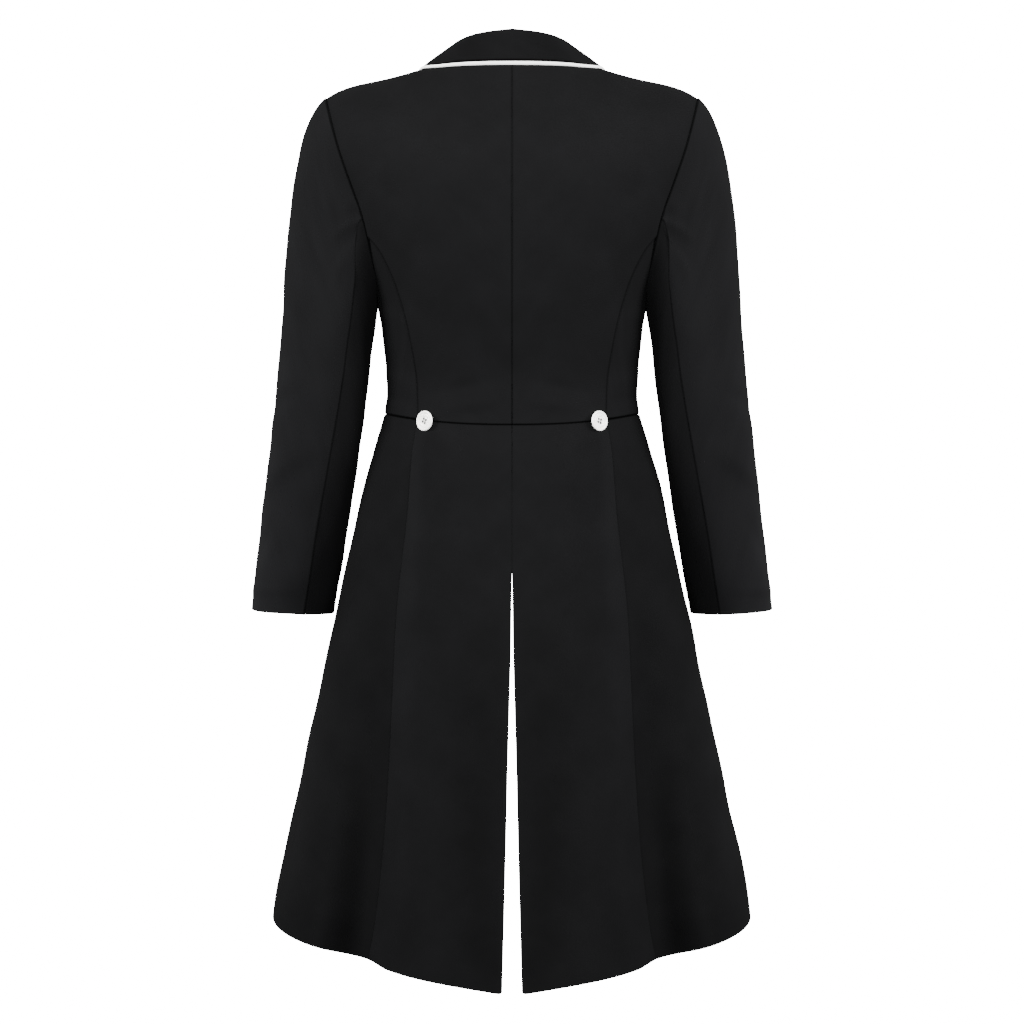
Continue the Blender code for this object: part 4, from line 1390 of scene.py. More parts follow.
@dataclass(frozen=True)
class PearlResin:
    """Polyester button resin, cast in layers and turned: off-white, cloudy and softly glossy."""

    light: str = "#fbfaf7"
    dark: str = "#eeedea"
    roughness: float = 0.28
    ior: float = 1.54
    cloud: float = 0.006
    coat: float = 0.25
    coat_roughness: float = 0.12

    def build(self) -> bpy.types.Material:
        """Makes the material.

        Returns:
            The material.
        """
        material, tree = new_material("button_resin_pearl")
        place = add_node(tree, "ShaderNodeTexCoord", {}, {}).outputs["Object"]
        cloud = add_node(
            tree, "ShaderNodeTexNoise", {},
            {"Vector": place, "Scale": 1 / self.cloud, "Detail": 3.0, "Distortion": 1.5},
        )
        colour = add_node(
            tree, "ShaderNodeMix", {"data_type": "RGBA"},
            {0: cloud.outputs["Fac"], 6: linear(self.dark), 7: linear(self.light)},
        )
        shader = add_node(
            tree, "ShaderNodeBsdfPrincipled", {},
            {"Base Color": colour.outputs[2], "Roughness": self.roughness, "IOR": self.ior,
             "Coat Weight": self.coat, "Coat Roughness": self.coat_roughness},
        )
        add_node(tree, "ShaderNodeOutputMaterial", {}, {"Surface": shader.outputs[0]})
        return material


@dataclass(frozen=True)
class SewingThread:
    """Spun polyester sewing thread: matte, twisted, a shade off the cloth that it holds."""

    name: str
    colour: str
    roughness: float = 0.75
    ply: float = 0.0004

    def build(self) -> bpy.types.Material:
        """Makes the material, with the twist of two plies 0.4 mm apart.

        Returns:
            The material.
        """
        material, tree = new_material(self.name)
        place = add_node(tree, "ShaderNodeTexCoord", {}, {}).outputs["Object"]
        twist = add_node(
            tree, "ShaderNodeTexWave", {"bands_direction": "DIAGONAL"},
            {"Vector": place, "Scale": BAND / self.ply},
        )
        bump = add_node(
            tree, "ShaderNodeBump", {}, {"Height": twist.outputs["Fac"], "Strength": 0.3, "Distance": 0.0001}
        )
        shader = add_node(
            tree, "ShaderNodeBsdfPrincipled", {},
            {"Base Color": linear(self.colour), "Roughness": self.roughness, "Normal": bump.outputs[0]},
        )
        add_node(tree, "ShaderNodeOutputMaterial", {}, {"Surface": shader.outputs[0]})
        return material


@dataclass(frozen=True)
class PaleFloor:
    """Painted studio floor: matte off-white that lets the coat's own shading read."""

    colour: str = "#eeeeec"

    def build(self) -> bpy.types.Material:
        """Makes the material.

        Returns:
            The material.
        """
        material, tree = new_material("floor_paint_matte")
        shader = add_node(
            tree, "ShaderNodeBsdfPrincipled", {}, {"Base Color": linear(self.colour), "Roughness": 0.9}
        )
        add_node(tree, "ShaderNodeOutputMaterial", {}, {"Surface": shader.outputs[0]})
        return material


@dataclass(frozen=True)
class Palette:
    """The garment's finishes, each built once."""

    wool: bpy.types.Material
    piping: bpy.types.Material
    pearl: bpy.types.Material
    dark_thread: bpy.types.Material
    white_thread: bpy.types.Material

    @classmethod
    def made(cls) -> "Palette":
        """Builds every finish.

        Returns:
            The palette.
        """
        return cls(
            WoolTwill().build(),
            SatinPiping().build(),
            PearlResin().build(),
            SewingThread("thread_polyester_black", "#18181a").build(),
            SewingThread("thread_polyester_white", "#e4e4e1").build(),
        )


def dress(made: bpy.types.Object, material: bpy.types.Material, slot: str, *nodes: str) -> bpy.types.Object:
    """Gives a piece its finish and its body, and hides the solids it stands for.

    Args:
        made: The piece.
        material: Its finish.
        slot: Not used.
        nodes: The solids that it replaces.

    Returns:
        The piece.
    """
    made.data.materials.clear()
    made.data.materials.append(material)
    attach(made, "root")
    if nodes:
        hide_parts(*nodes)
    log.info("%s: %d faces", made.name, len(made.data.polygons))
    return made


def cut_piece(panel: Panel, palette: Palette, held: str, *hangs_from: str) -> str:
    """Makes a panel in wool.

    Args:
        panel: The panel.
        palette: The garment's finishes.
        held: Not used.
        hangs_from: Not used.

    Returns:
        The node that it stands for.
    """
    node = panel.name.removeprefix("cloth_")
    made = dress(panel.build(), palette.wool, "wool_cloth", node)
    return node


@dataclass(frozen=True)
class Stitching:
    """Runs of machine stitches, set along a line by a node tree with named sizes."""

    length: float = 0.0022
    pitch: float = 0.0030
    radius: float = 0.00022

    @cached_property
    def tree(self) -> bpy.types.GeometryNodeTree:
        """The node tree: the line's edges in, one small capsule at each stitch out.

        Returns:
            The tree, whose sizes are its named inputs.
        """
        tree = bpy.data.node_groups.new("stitches_along_a_line", "GeometryNodeTree")
        tree.is_modifier = True
        for name, kind in (
            ("Line", "NodeSocketGeometry"),
            ("Stitch length", "NodeSocketFloat"),
            ("Pitch", "NodeSocketFloat"),
            ("Thread radius", "NodeSocketFloat"),
            ("Thread", "NodeSocketMaterial"),
        ):
            tree.interface.new_socket(name, in_out="INPUT", socket_type=kind)
        tree.interface.new_socket("Stitches", in_out="OUTPUT", socket_type="NodeSocketGeometry")
        given = add_node(tree, "NodeGroupInput", {}, {}).outputs
        line = add_node(tree, "GeometryNodeMeshToCurve", {}, {"Mesh": given["Line"]})
        places = add_node(
            tree, "GeometryNodeCurveToPoints", {"mode": "LENGTH"},
            {"Curve": line.outputs[0], "Length": given["Pitch"]},
        )
        half = add_node(
            tree, "ShaderNodeMath", {"operation": "MULTIPLY"}, {0: given["Stitch length"], 1: 0.5}
        )
        size = add_node(
            tree, "ShaderNodeCombineXYZ", {},
            {0: given["Thread radius"], 1: given["Thread radius"], 2: half.outputs[0]},
        )
        capsule = add_node(
            tree, "GeometryNodeMeshUVSphere", {}, {"Segments": 6, "Rings": 4, "Radius": 1.0}
        )
        copies = add_node(
            tree, "GeometryNodeInstanceOnPoints", {},
            {"Points": places.outputs["Points"], "Instance": capsule.outputs[0],
             "Rotation": places.outputs["Rotation"], "Scale": size.outputs[0]},
        )
        real = add_node(tree, "GeometryNodeRealizeInstances", {}, {"Geometry": copies.outputs[0]})
        thread = add_node(
            tree, "GeometryNodeSetMaterial", {}, {"Geometry": real.outputs[0], "Material": given["Thread"]}
        )
        add_node(tree, "NodeGroupOutput", {}, {"Stitches": thread.outputs[0]})
        return tree

    def sew(self, panel: Panel, lines: Sequence[Points], palette: Palette) -> None:
        """Sews along lines on a panel, and makes one plain mesh of all the stitches.

        Args:
            panel: The panel.
            lines: Rows of points, each a line.
            palette: The garment's finishes.
        """
        name = panel.name.replace("cloth_", "stitches_")
        starts = np.cumsum([0] + [len(line) for line in lines[:-1]])
        edges = [
            (start + i, start + i + 1) for start, line in zip(starts, lines) for i in range(len(line) - 1)
        ]
        mesh = bpy.data.meshes.new(name + "_line")
        mesh.from_pydata(np.concatenate(lines).tolist(), edges, [])
        guide = placed(name + "_line", mesh)
        modifier = guide.modifiers.new("stitches", "NODES")
        modifier.node_group = self.tree
        sockets = {item.name: item.identifier for item in self.tree.interface.items_tree}
        modifier[sockets["Stitch length"]] = self.length
        modifier[sockets["Pitch"]] = self.pitch
        modifier[sockets["Thread radius"]] = self.radius
        modifier[sockets["Thread"]] = palette.dark_thread
        sewn = worked_mesh(guide)
        sewn.shade_smooth()
        dress(placed(name, sewn), palette.dark_thread, "wool_cloth")


STITCHING = Stitching()


@dataclass
class Bodice:
    """Backs, side bodies and fronts, from the shoulders to the waist seam."""

    torso: TorsoForm
    back_creases: tuple[Crease, ...] = (
        Crease(0.150, -0.120, 0.110, -0.150, 0.010, 0.0012),
        Crease(0.148, -0.160, 0.100, -0.210, 0.009, -0.0010),
        Crease(0.128, -0.215, 0.090, -0.270, 0.008, 0.0008),
        Crease(0.020, -0.330, 0.085, -0.345, 0.007, 0.0009),
        Crease(0.015, -0.352, 0.070, -0.360, 0.006, -0.0008),
        Crease(0.060, -0.040, 0.140, -0.075, 0.016, 0.0012),
        Crease(0.030, -0.120, 0.060, -0.240, 0.030, -0.0012),
    )
    front_creases: tuple[Crease, ...] = (
        Crease(0.150, -0.130, 0.105, -0.160, 0.010, 0.0014),
        Crease(0.140, -0.190, 0.080, -0.180, 0.012, -0.0012),
        Crease(0.115, -0.270, 0.060, -0.250, 0.009, 0.0010),
        Crease(0.110, -0.320, 0.040, -0.300, 0.008, -0.0010),
        Crease(0.100, -0.345, 0.030, -0.335, 0.008, 0.0009),
    )
    side_creases: tuple[Crease, ...] = (
        Crease(0.150, -0.250, 0.110, -0.270, 0.008, 0.0008),
        Crease(0.140, -0.320, 0.100, -0.335, 0.008, 0.0010),
        Crease(0.140, -0.345, 0.100, -0.352, 0.006, -0.0008),
    )
    seed: int = 11
    waves: float = 0.0004
    stitch_inset: float = 0.006

    def panels(self) -> list[Panel]:
        """Cuts the six panels and creases them. Those of the right side are mirrored last.

        Returns:
            The panels.
        """
        made = []
        seam, flat, hem = Edge.SEAM, Edge.PRESSED, Edge.HEM
        for side in Side:
            word, seed = side.name.lower(), self.seed + side.value
            # each panel's tone is painted light: its colour made lighter or darker from top to bottom as
            # light falls on it
            back = Panel(
                "cloth_back_" + word, self.torso.back_grid(), (flat, seam, flat, flat), outward=-1,
                tone=(0.34, 0.40), pressed_share=0.42,
            )
            front = Panel(
                "cloth_front_" + word, self.torso.front_grid(), (flat, hem, hem, flat), tone=(0.32, 0.40)
            )
            body = Panel(
                "cloth_side_body_" + word, self.torso.side_grid(), (seam, seam, flat, flat),
                tone=(0.34, 0.42),
            )
            creased = ((back, self.back_creases), (front, self.front_creases), (body, self.side_creases))
            for panel, creases in creased:
                x, z = panel.grid[..., 0], panel.grid[..., 2]
                panel.relaxed().creased(x, z, creases, seed, self.waves)
            if side is Side.RIGHT:
                front.lifted(self.torso.lap_lift(front.grid[..., 0], front.grid[..., 2]))
                back, front, body = (panel.mirrored(panel.name) for panel in (back, front, body))
            made += [back, front, body]
        return made

    def build(self, palette: Palette) -> None:
        """Makes and dresses the panels, and sews the fronts' edges.

        Args:
            palette: The garment's finishes.
        """
        for panel in self.panels():
            if cut_piece(panel, palette, "draped").startswith("front"):
                STITCHING.sew(panel, [panel.path(over=0, inset=self.stitch_inset)], palette)


@dataclass
class Tails:
    """The four panels of the tails, with the pleat, the vent and the hem."""

    form: TailForm
    back_creases: tuple[Crease, ...] = (
        Crease(0.096, -0.470, 0.080, -0.960, 0.024, 0.0044),
        Crease(0.036, -0.560, 0.030, -0.960, 0.026, -0.0042),
        Crease(0.075, -0.390, 0.088, -0.520, 0.014, 0.0016),
        Crease(0.050, -0.400, 0.062, -0.470, 0.012, -0.0010),
        Crease(0.020, -0.700, 0.012, -0.900, 0.012, 0.0010),
    )
    side_creases: tuple[Crease, ...] = (
        Crease(0.138, -0.460, 0.170, -0.900, 0.024, -0.0023),
        Crease(0.205, -0.640, 0.234, -0.900, 0.014, 0.0014),
        Crease(0.120, -0.390, 0.135, -0.480, 0.009, -0.0010),
        Crease(0.150, -0.430, 0.162, -0.520, 0.012, 0.0008),
    )
    seed: int = 31
    waves: float = 0.0006

    def panels(self) -> list[Panel]:
        """Cuts the four panels and creases them. Those of the right side are mirrored last.

        Returns:
            The panels.
        """
        made = []
        for side in Side:
            word, seed = side.name.lower(), self.seed + side.value
            # painted shade: the tails' colour darker towards the hem, with painted light on crease ridges
            # and painted shade in hollows
            back = Panel(
                "cloth_skirt_back_" + word, self.form.back_grid(),
                (Edge.SEAM, Edge.HEM, Edge.SEAM_THEN_HEM, Edge.PLEAT), outward=-1, tone=(0.34, 0.28),
                ridge_painted_highlight=10.0, sewn_share=self.form.vent_sewn,
            )
            flank = Panel(
                "cloth_skirt_side_" + word, self.form.side_grid(),
                (Edge.SEAM, Edge.HEM, Edge.UNDER_PLEAT, Edge.HEM), tone=(0.34, 0.25), ridge_painted_highlight=45.0,
                hollow_painted_shade=10.0,
            )
            for panel, creases in ((back, self.back_creases), (flank, self.side_creases)):
                panel.creased(panel.grid[..., 0], panel.grid[..., 2], creases, seed, self.waves)
            if side is Side.RIGHT:
                back, flank = (panel.mirrored(panel.name) for panel in (back, flank))
            made += [back, flank]
        return made

    def build(self, palette: Palette) -> None:
        """Makes and dresses the panels.

        Args:
            palette: The garment's finishes.
        """
        for panel in self.panels():
            above = panel.name.replace("skirt_back", "back").replace("skirt_side", "side_body")
            cut_piece(panel, palette, "hung", above)


@dataclass
class Sleeves:
    """Two-piece sleeves, set in at the armholes and plain at the cuffs."""

    form: SleeveForm
    creases: tuple[Crease, ...] = (
        Crease(0.094, -0.138, 0.080, -0.150, 0.0040, -0.0014),
        Crease(0.094, -0.149, 0.077, -0.167, 0.0042, 0.0013),
        Crease(0.093, -0.162, 0.073, -0.187, 0.0046, -0.0015),
        Crease(0.094, -0.178, 0.080, -0.207, 0.0040, 0.0012),
        Crease(0.090, -0.192, 0.083, -0.240, 0.0045, -0.0010),
        Crease(0.078, -0.200, 0.066, -0.300, 0.0140, 0.0010),
        Crease(0.060, -0.340, -0.010, -0.365, 0.010, 0.0013),
        Crease(-0.070, -0.350, -0.020, -0.385, 0.009, -0.0014),
        Crease(-0.080, -0.375, -0.030, -0.405, 0.008, 0.0015),
        Crease(0.075, -0.405, 0.020, -0.440, 0.011, -0.0010),
        Crease(0.045, -0.470, 0.010, -0.530, 0.012, 0.0012),
        Crease(-0.040, -0.510, 0.000, -0.545, 0.009, -0.0009),
        Crease(0.070, -0.550, -0.060, -0.552, 0.006, -0.0007),
    )
    # painted light: the upper sleeve made lighter than the under sleeve, and both lighter towards the cuff
    kinds: tuple[tuple[str, tuple[float, float], float], ...] = (
        ("upper", (0.42, 0.86), 2.6),
        ("under", (0.24, 0.42), 1.0),
    )
    seed: int = 51
    waves: float = 0.0006

    def panels(self) -> list[Panel]:
        """Cuts the four panels and creases them. Those of the right side are mirrored last.

        Returns:
            The panels.
        """
        made = []
        for side in Side:
            for kind, tone, curve in self.kinds:
                name = f"cloth_sleeve_{kind}_{side.name.lower()}"
                turn, down = self.form.spread(kind == "upper")
                # heavy painted shade in the crease hollows, light painted highlight on the ridges
                panel = Panel(
                    name, self.form.point(turn, down), (Edge.SEAM, Edge.HEM, Edge.PRESSED, Edge.PRESSED),
                    inset=0.0012, seam_calm=0.006, tone=tone, painted_light_curve=curve, sewn_strength=0.72,
                    ridge_painted_highlight=10.0, hollow_painted_shade=110.0,
                )
                round_it = np.radians(turn) * self.form.radius
                seed = self.seed + side.value
                panel.creased(round_it, panel.grid[..., 2], self.creases, seed, self.waves)
                made.append(panel.mirrored(name) if side is Side.RIGHT else panel)
        return made

    def build(self, palette: Palette) -> None:
        """Makes and dresses the panels."""
        for panel in self.panels():
            cut_piece(panel, palette, "hung", "cloth_back_" + panel.name.split("_")[-1])


class CollarRow(NamedTuple):
    """A section of the collar: neck seam, fold and edge, with the rise of its front end."""

    station: float
    neck_x: float
    fold_x: float
    fold_y: float
    fold_z: float
    edge_x: float
    edge_z: float
    hollow: float
    seam_z: float
    height: float
    leg: float


@dataclass
class Collar:
    """The turned collar: stand, fall and white piping, and the lapels it meets."""

    torso: TorsoForm
    rows: tuple[CollarRow, ...] = (
        CollarRow(0.0, 0.0000, 0.0000, 0.0490, 0.0402, 0.0000, -0.0006, 0.000, 0.007, 0.0200, 0.0060),
        CollarRow(1.0, 0.0360, 0.0280, 0.0425, 0.0374, 0.0400, -0.0004, 0.000, 0.007, 0.0200, 0.0060),
        CollarRow(2.0, 0.0560, 0.0460, 0.0310, 0.0319, 0.0800, -0.0004, 0.000, 0.007, 0.0200, 0.0060),
        CollarRow(3.0, 0.0660, 0.0564, 0.0140, 0.0268, 0.0985, -0.0020, -0.001, 0.007, 0.0200, 0.0060),
        CollarRow(4.0, 0.0660, 0.0590, -0.0060, 0.0150, 0.1065, -0.0250, 0.003, -0.012, 0.0130, 0.0030),
        CollarRow(5.0, 0.0660, 0.0570, -0.0260, -0.0110, 0.0970, -0.0540, 0.001, -0.040, 0.0070, 0.0004),
    )
    back_stations: float = 3
    stand_end: float = 4.0
    steps: int = 18
    seam_lift: float = 0.001
    lift: float = 0.0008
    wall: float = 0.0022
    ridge_lift: float = 0.0012
    ridge_reach: float = 0.55
    ridge_rounds: int = 14
    fold_radius: float = 0.0036
    side_fold_radius: float = 0.0052
    fold_steps: int = 12
    fall_steps: int = 18
    piping_width: float = 0.0052
    piping_rise: float = 0.0006
    piping_fall: float = 0.0016
    lapel_size: tuple[float, float] = (0.090, 0.140)
    lapel_top: float = -0.046
    lapel_end: float = -0.186
    lapel_end_rise: float = 0.002
    lapel_tip_x: float = 0.120
    lapel_tip_z: float = -0.088
    lapel_inset: float = 0.0012
    lapel_foot: float = 0.004
    lapel_curve: float = 1.35
    gorge_bend: float = 0.6
    lapel_spring: float = 0.002
    end_stops: tuple[float, ...] = (0.02, 0.008, 0.0)
    seam_room: float = 0.0004
    piping_steps: int = 10
    piping_round: float = 0.8
    stand_lap: float = 0.0003
    stand_steps: int = 8
    stitch_inset: float = 0.005

    @cached_property
    def curves(self) -> dict[str, Curve]:
        """Every column of the table, by its name."""
        return {name: column(self.rows, name) for name in CollarRow._fields[1:]}

    def section(self, station: Points) -> tuple[Points, Points, Points]:
        """The collar's section on the wearer's left.

        Args:
            station: Stations from the centre back, 0, to the front end.

        Returns:
            A point of the neck seam, of the fold and of the edge for each.
        """
        read = {name: curve(station) for name, curve in self.curves.items()}
        neck = xyz(
            read["neck_x"], self.torso.neck_depth(read["neck_x"]), self.torso.neck_level + self.seam_lift
        )
        fold = xyz(read["fold_x"], read["fold_y"], read["fold_z"])
        over_ridge = np.exp(-(((station - self.back_stations) / self.ridge_reach) ** 2))
        lift = self.lift + self.wall + self.ridge_lift * over_ridge
        behind = self.torso.stand_out(read["edge_x"], read["edge_z"], True, lift)
        before = self.torso.stand_out(read["edge_x"], read["edge_z"], False, lift)
        in_back = (station <= self.back_stations)[:, None]
        edge = self.eased_over_ridge(station, np.where(in_back, behind, before))
        seam_x = self.torso.roll_at(read["seam_z"]) + self.seam_lift
        low = self.torso.stand_out(seam_x, read["seam_z"], False, np.full_like(station, self.seam_lift))
        high = self.torso.stand_out(seam_x, read["seam_z"], False, self.seam_lift + read["height"])
        settled = np.where(in_back[:, 0], 0.0, ease(station - self.back_stations))[:, None]
        return blend(neck, low, settled), blend(fold, high, settled), edge

    def eased_over_ridge(self, station: Points, edge: Points) -> Points:
        """Rounds the edge's path where it passes over the shoulder line.

        Args:
            station: Stations from the centre back.
            edge: The edge's points at them.

        Returns:
            The points, moved near the shoulder line only.
        """
        eased = edge.copy()
        for _ in range(self.ridge_rounds):
            eased[1:-1] = (eased[:-2] + eased[1:-1] * 2 + eased[2:]) / 4
        near = np.exp(-(((station - self.back_stations) / self.ridge_reach) ** 4))
        return blend(edge, eased, near[:, None])

    def profile(self, station: Points) -> Points:
        """The fall's outer face: up the inside, over the fold and out to its edge.

        Args:
            station: Stations from the centre back.

        Returns:
            A row of points for each station.
        """
        neck, fold, edge = self.section(station)
        to_neck, to_edge = unit(neck - fold), unit(edge - fold)
        up = -unit(to_neck + to_edge)
        out = unit(to_edge - up * (to_edge * up).sum(-1, keepdims=True))
        side = ease(station / self.back_stations) * (1 - ease(station - self.back_stations))
        radius = blend(self.fold_radius, self.side_fold_radius, side)[:, None]
        centre = fold - up * radius
        columns = [centre - out * radius + to_neck * self.curves["leg"](station)[:, None]]
        for turn in np.linspace(math.pi, 0, self.fold_steps):
            columns.append(centre + (out * math.cos(turn) + up * math.sin(turn)) * radius)
        start = columns[-1]
        outward = unit(np.cross(np.cross(to_edge, up), to_edge))
        pull = (start + edge) / 2 - outward * 2 * self.curves["hollow"](station)[:, None]
        for t in np.linspace(0, 1, self.fall_steps + 1)[1:]:
            columns.append(start * (1 - t) ** 2 + pull * (2 * t * (1 - t)) + edge * t * t)
        return np.stack(columns, axis=1)

    @staticmethod
    def both_sides(left: Points) -> Points:
        """Rows from the right front end round the back to the left one."""
        return np.concatenate([(left[1:] * (-1, 1, 1))[::-1], left])

    def stations(self, last: float) -> Points:
        """Stations from the centre back to a last one, closer together at the front end."""
        even = np.linspace(0, last, int(last * self.steps) + 1)
        return np.concatenate([even[:-1], last - np.array(self.end_stops)])

    def fall_and_piping(self) -> tuple[Panel, Panel]:
        """The fall up to the piping seam, and the piping as a rounded band beyond it.

        Returns:
            The two panels.
        """
        whole = self.both_sides(self.profile(self.stations(self.rows[-1].station)))
        run = unit(whole[:, -1] - whole[:, -2])
        seam = whole[:, -1] - run * self.piping_width
        inner = np.linalg.norm(whole - whole[:, -1:], axis=-1) > self.piping_width + self.seam_room
        keep = max(int(inner.sum(axis=1).min()), self.fold_steps + 2)
        middle = (whole[:, keep - 1] + seam)[:, None] / 2
        fall = np.concatenate([whole[:, :keep], middle, seam[:, None]], axis=1)
        across = np.linspace(0, 1, self.piping_steps + 1)
        band = seam[:, None] + run[:, None] * (self.piping_width * across)[None, :, None]
        edges = (Edge.HEM, Edge.HEM, Edge.HEM, Edge.SEAM)
        # painted light: the fall's colour held at one fixed share of light wool
        fall_panel = Panel("cloth_collar_fall", fall, edges, outward=-1, tone=(0.28, 0.28))
        piping = Panel(
            "trim_collar_piping", band, (Edge.HEM,) * 4, outward=-1, thickness=self.wall + self.piping_rise
        )
        bulge = self.piping_rise * np.sin(math.pi * across**self.piping_round) - self.piping_fall * across**3
        return fall_panel, piping.lifted(np.broadcast_to(bulge, band.shape[:2]))

    def stand(self) -> Panel:
        """The upright band between the neck seam and the fall's inner leg.

        Returns:
            The panel.
        """
        station = self.stations(self.stand_end)
        neck = self.section(station)[0]
        leg = self.profile(station)[:, 0]
        top = leg + unit(neck - leg) * self.stand_lap
        up = np.linspace(0, 1, self.stand_steps + 1)[None, :, None]
        band = self.both_sides(neck[:, None] + (top - neck)[:, None] * up)
        edges = (Edge.HEM, Edge.HEM, Edge.SEAM, Edge.SEAM)
        return Panel("cloth_collar_stand", band, edges, outward=-1)

    def lapel(self, side: Side) -> Panel:
        """The turned-back part of a front: from the roll line out to the pointed edge.

        Args:
            side: The wearer's side that it is on.

        Returns:
            The panel.
        """
        out, down = shares(*self.lapel_size, FINE_STEP)
        roll_z = blend(self.lapel_top, self.lapel_end, down)
        edge_z = blend(self.lapel_tip_z, self.lapel_end - self.lapel_end_rise, down)
        roll_x = self.torso.roll_at(roll_z) + self.lapel_inset
        edge_x = blend(self.lapel_tip_x, roll_x + self.lapel_foot, down**self.lapel_curve)
        x = blend(roll_x, edge_x, out)
        z = blend(roll_z, edge_z, out ** (1 + self.gorge_bend * (1 - down)))
        rise = self.lift + self.lapel_spring * np.sin(math.pi * out) * (1 - down) + self.wall
        if side is Side.RIGHT:
            rise = rise + self.torso.lap_lift(x, z)
        grid = self.torso.stand_out(x, z, False, rise)
        panel = Panel("cloth_lapel_" + side.name.lower(), grid, (Edge.HEM,) * 4)
        return panel.mirrored(panel.name) if side is Side.RIGHT else panel

    def build(self, palette: Palette) -> None:
        """Makes and dresses the collar, the piping and the lapels, and sews the lapels' edges.

        Args:
            palette: The garment's finishes.
        """
        fall, piping = self.fall_and_piping()
        for panel in (fall, self.stand()):
            cut_piece(panel, palette, "folded", "cloth_back_left")
        dress(piping.build(), palette.piping, "piping_cloth", "collar_piping")
        for side in Side:
            lapel = self.lapel(side)
            cut_piece(lapel, palette, "folded", "cloth_front_" + side.name.lower())
            inset = self.stitch_inset
            STITCHING.sew(lapel, [lapel.path(over=1, inset=inset), lapel.path(row=0, inset=inset)], palette)


class ProfileRow(NamedTuple):
    """A point of the button's turned profile."""

    radius: float
    height: float


@dataclass
class Buttons:
    """Dished four-hole buttons: two at the back of the waist and three down the front."""

    torso: TorsoForm
    profile: tuple[ProfileRow, ...] = (
        ProfileRow(0.0000, 0.0002),
        ProfileRow(0.0030, 0.0002),
        ProfileRow(0.0032, 0.0010),
        ProfileRow(0.0088, 0.0011),
        ProfileRow(0.0104, 0.0016),
        ProfileRow(0.0111, 0.0026),
        ProfileRow(0.0110, 0.0036),
        ProfileRow(0.0105, 0.0042),
        ProfileRow(0.0098, 0.0044),
        ProfileRow(0.0090, 0.0042),
        ProfileRow(0.0084, 0.0036),
        ProfileRow(0.0080, 0.0033),
        ProfileRow(0.0074, 0.0036),
        ProfileRow(0.0066, 0.0036),
        ProfileRow(0.0062, 0.0031),
        ProfileRow(0.0057, 0.0035),
        ProfileRow(0.0048, 0.0034),
        ProfileRow(0.0044, 0.0030),
        ProfileRow(0.0038, 0.0032),
        ProfileRow(0.0000, 0.0031),
    )
    sides: int = 64
    hole_reach: float = 0.0024
    hole_radius: float = 0.0015
    hole_turn: float = math.radians(68)
    hole_sides: int = 16
    drill_length: float = 0.0100
    drill_level: float = 0.0038
    hole_shadow_top: float = 0.0028
    # painted shadow: the dark plugs in the holes, their top, foot and share of the hole's radius
    hole_shadow_foot: float = 0.0004
    knot_share: float = 0.97
    thread_radius: float = 0.00028
    thread_share: float = 0.46
    thread_level: float = 0.0034
    thread_sink: float = 0.0006
    strand_gap: float = 0.9
    strand_sides: int = 12
    strand_rings: int = 8
    sharp_angle: float = math.radians(40)
    back_x: float = 0.0890
    back_z: float = -0.3725
    back_lift: float = 0.0018
    back_turn: float = math.radians(16)
    back_nod: float = 0.045
    back_size: float = 0.955
    front_z: tuple[float, ...] = (-0.232, -0.284, -0.336)
    front_lift: float = 0.0002

    def holes(self) -> list[tuple[float, float]]:
        """Where the four holes stand."""
        turns = (self.hole_turn + math.pi / 2 * i for i in range(4))
        return [(self.hole_reach * math.cos(turn), self.hole_reach * math.sin(turn)) for turn in turns]

    def drilled(self) -> bpy.types.Mesh:
        """The button's mesh with its holes cut by a Boolean.

        Returns:
            The mesh.
        """
        body = placed("button_blank", mesh_of("button_blank", *turned(self.profile, self.sides)))
        drills = self.pegs("button_drills", self.hole_radius, self.drill_length, self.drill_level)
        tool = placed("button_drills", drills)
        cut = body.modifiers.new("holes", "BOOLEAN")
        cut.object, cut.operation, cut.solver = tool, "DIFFERENCE", "EXACT"
        return worked_mesh(body, tool)

    def pegs(self, name: str, radius: float, length: float, level: float) -> bpy.types.Mesh:
        """Four round pegs, one at each hole.

        Args:
            name: The mesh's name.
            radius: Their radius.
            length: Their length.
            level: The height of their middles.

        Returns:
            The mesh.
        """
        mesh = bmesh.new()
        for x, y in self.holes():
            made = bmesh.ops.create_cone(
                mesh, cap_ends=True, segments=self.hole_sides, radius1=radius, radius2=radius, depth=length
            )
            bmesh.ops.translate(mesh, verts=made["verts"], vec=(x, y, level))
        return plain_mesh(name, mesh)

    def knots(self) -> bpy.types.Mesh:
        """Painted shadow: dark plugs in thread colour that fill the lower part of each hole, where shade
        falls.

        Returns:
            The mesh.
        """
        radius, length = self.hole_radius * self.knot_share, self.hole_shadow_top - self.hole_shadow_foot
        return self.pegs("button_knots", radius, length, (self.hole_shadow_top + self.hole_shadow_foot) / 2)

    def thread(self) -> bpy.types.Mesh:
        """Two crossing pairs of thread strands between the holes, sunk at both ends.

        Returns:
            The mesh.
        """
        turns = np.linspace(0, math.pi, self.strand_rings + 1)
        ball, ball_faces = turned(list(zip(np.sin(turns), -np.cos(turns))), self.strand_sides)
        spots = np.array(self.holes())
        strands, faces = [], []
        for start, end in ((spots[0], spots[2]), (spots[1], spots[3])):
            middle, run = np.append((start + end) / 2, 0.0), np.append(end - start, 0.0)
            aside = np.cross((0, 0, 1), unit(run)) * self.thread_radius
            for offset in (-self.strand_gap, self.strand_gap):
                faces += [[len(strands) * len(ball) + corner for corner in face] for face in ball_faces]
                strand = middle + ball[:, 2:] * run * self.thread_share / 2 + (ball[:, :1] + offset) * aside
                strand[:, 2] = self.thread_level + ball[:, 1] * self.thread_radius
                strand[:, 2] -= self.thread_sink * ball[:, 2] ** 4
                strands.append(strand)
        return mesh_of("button_thread", np.concatenate(strands), faces)

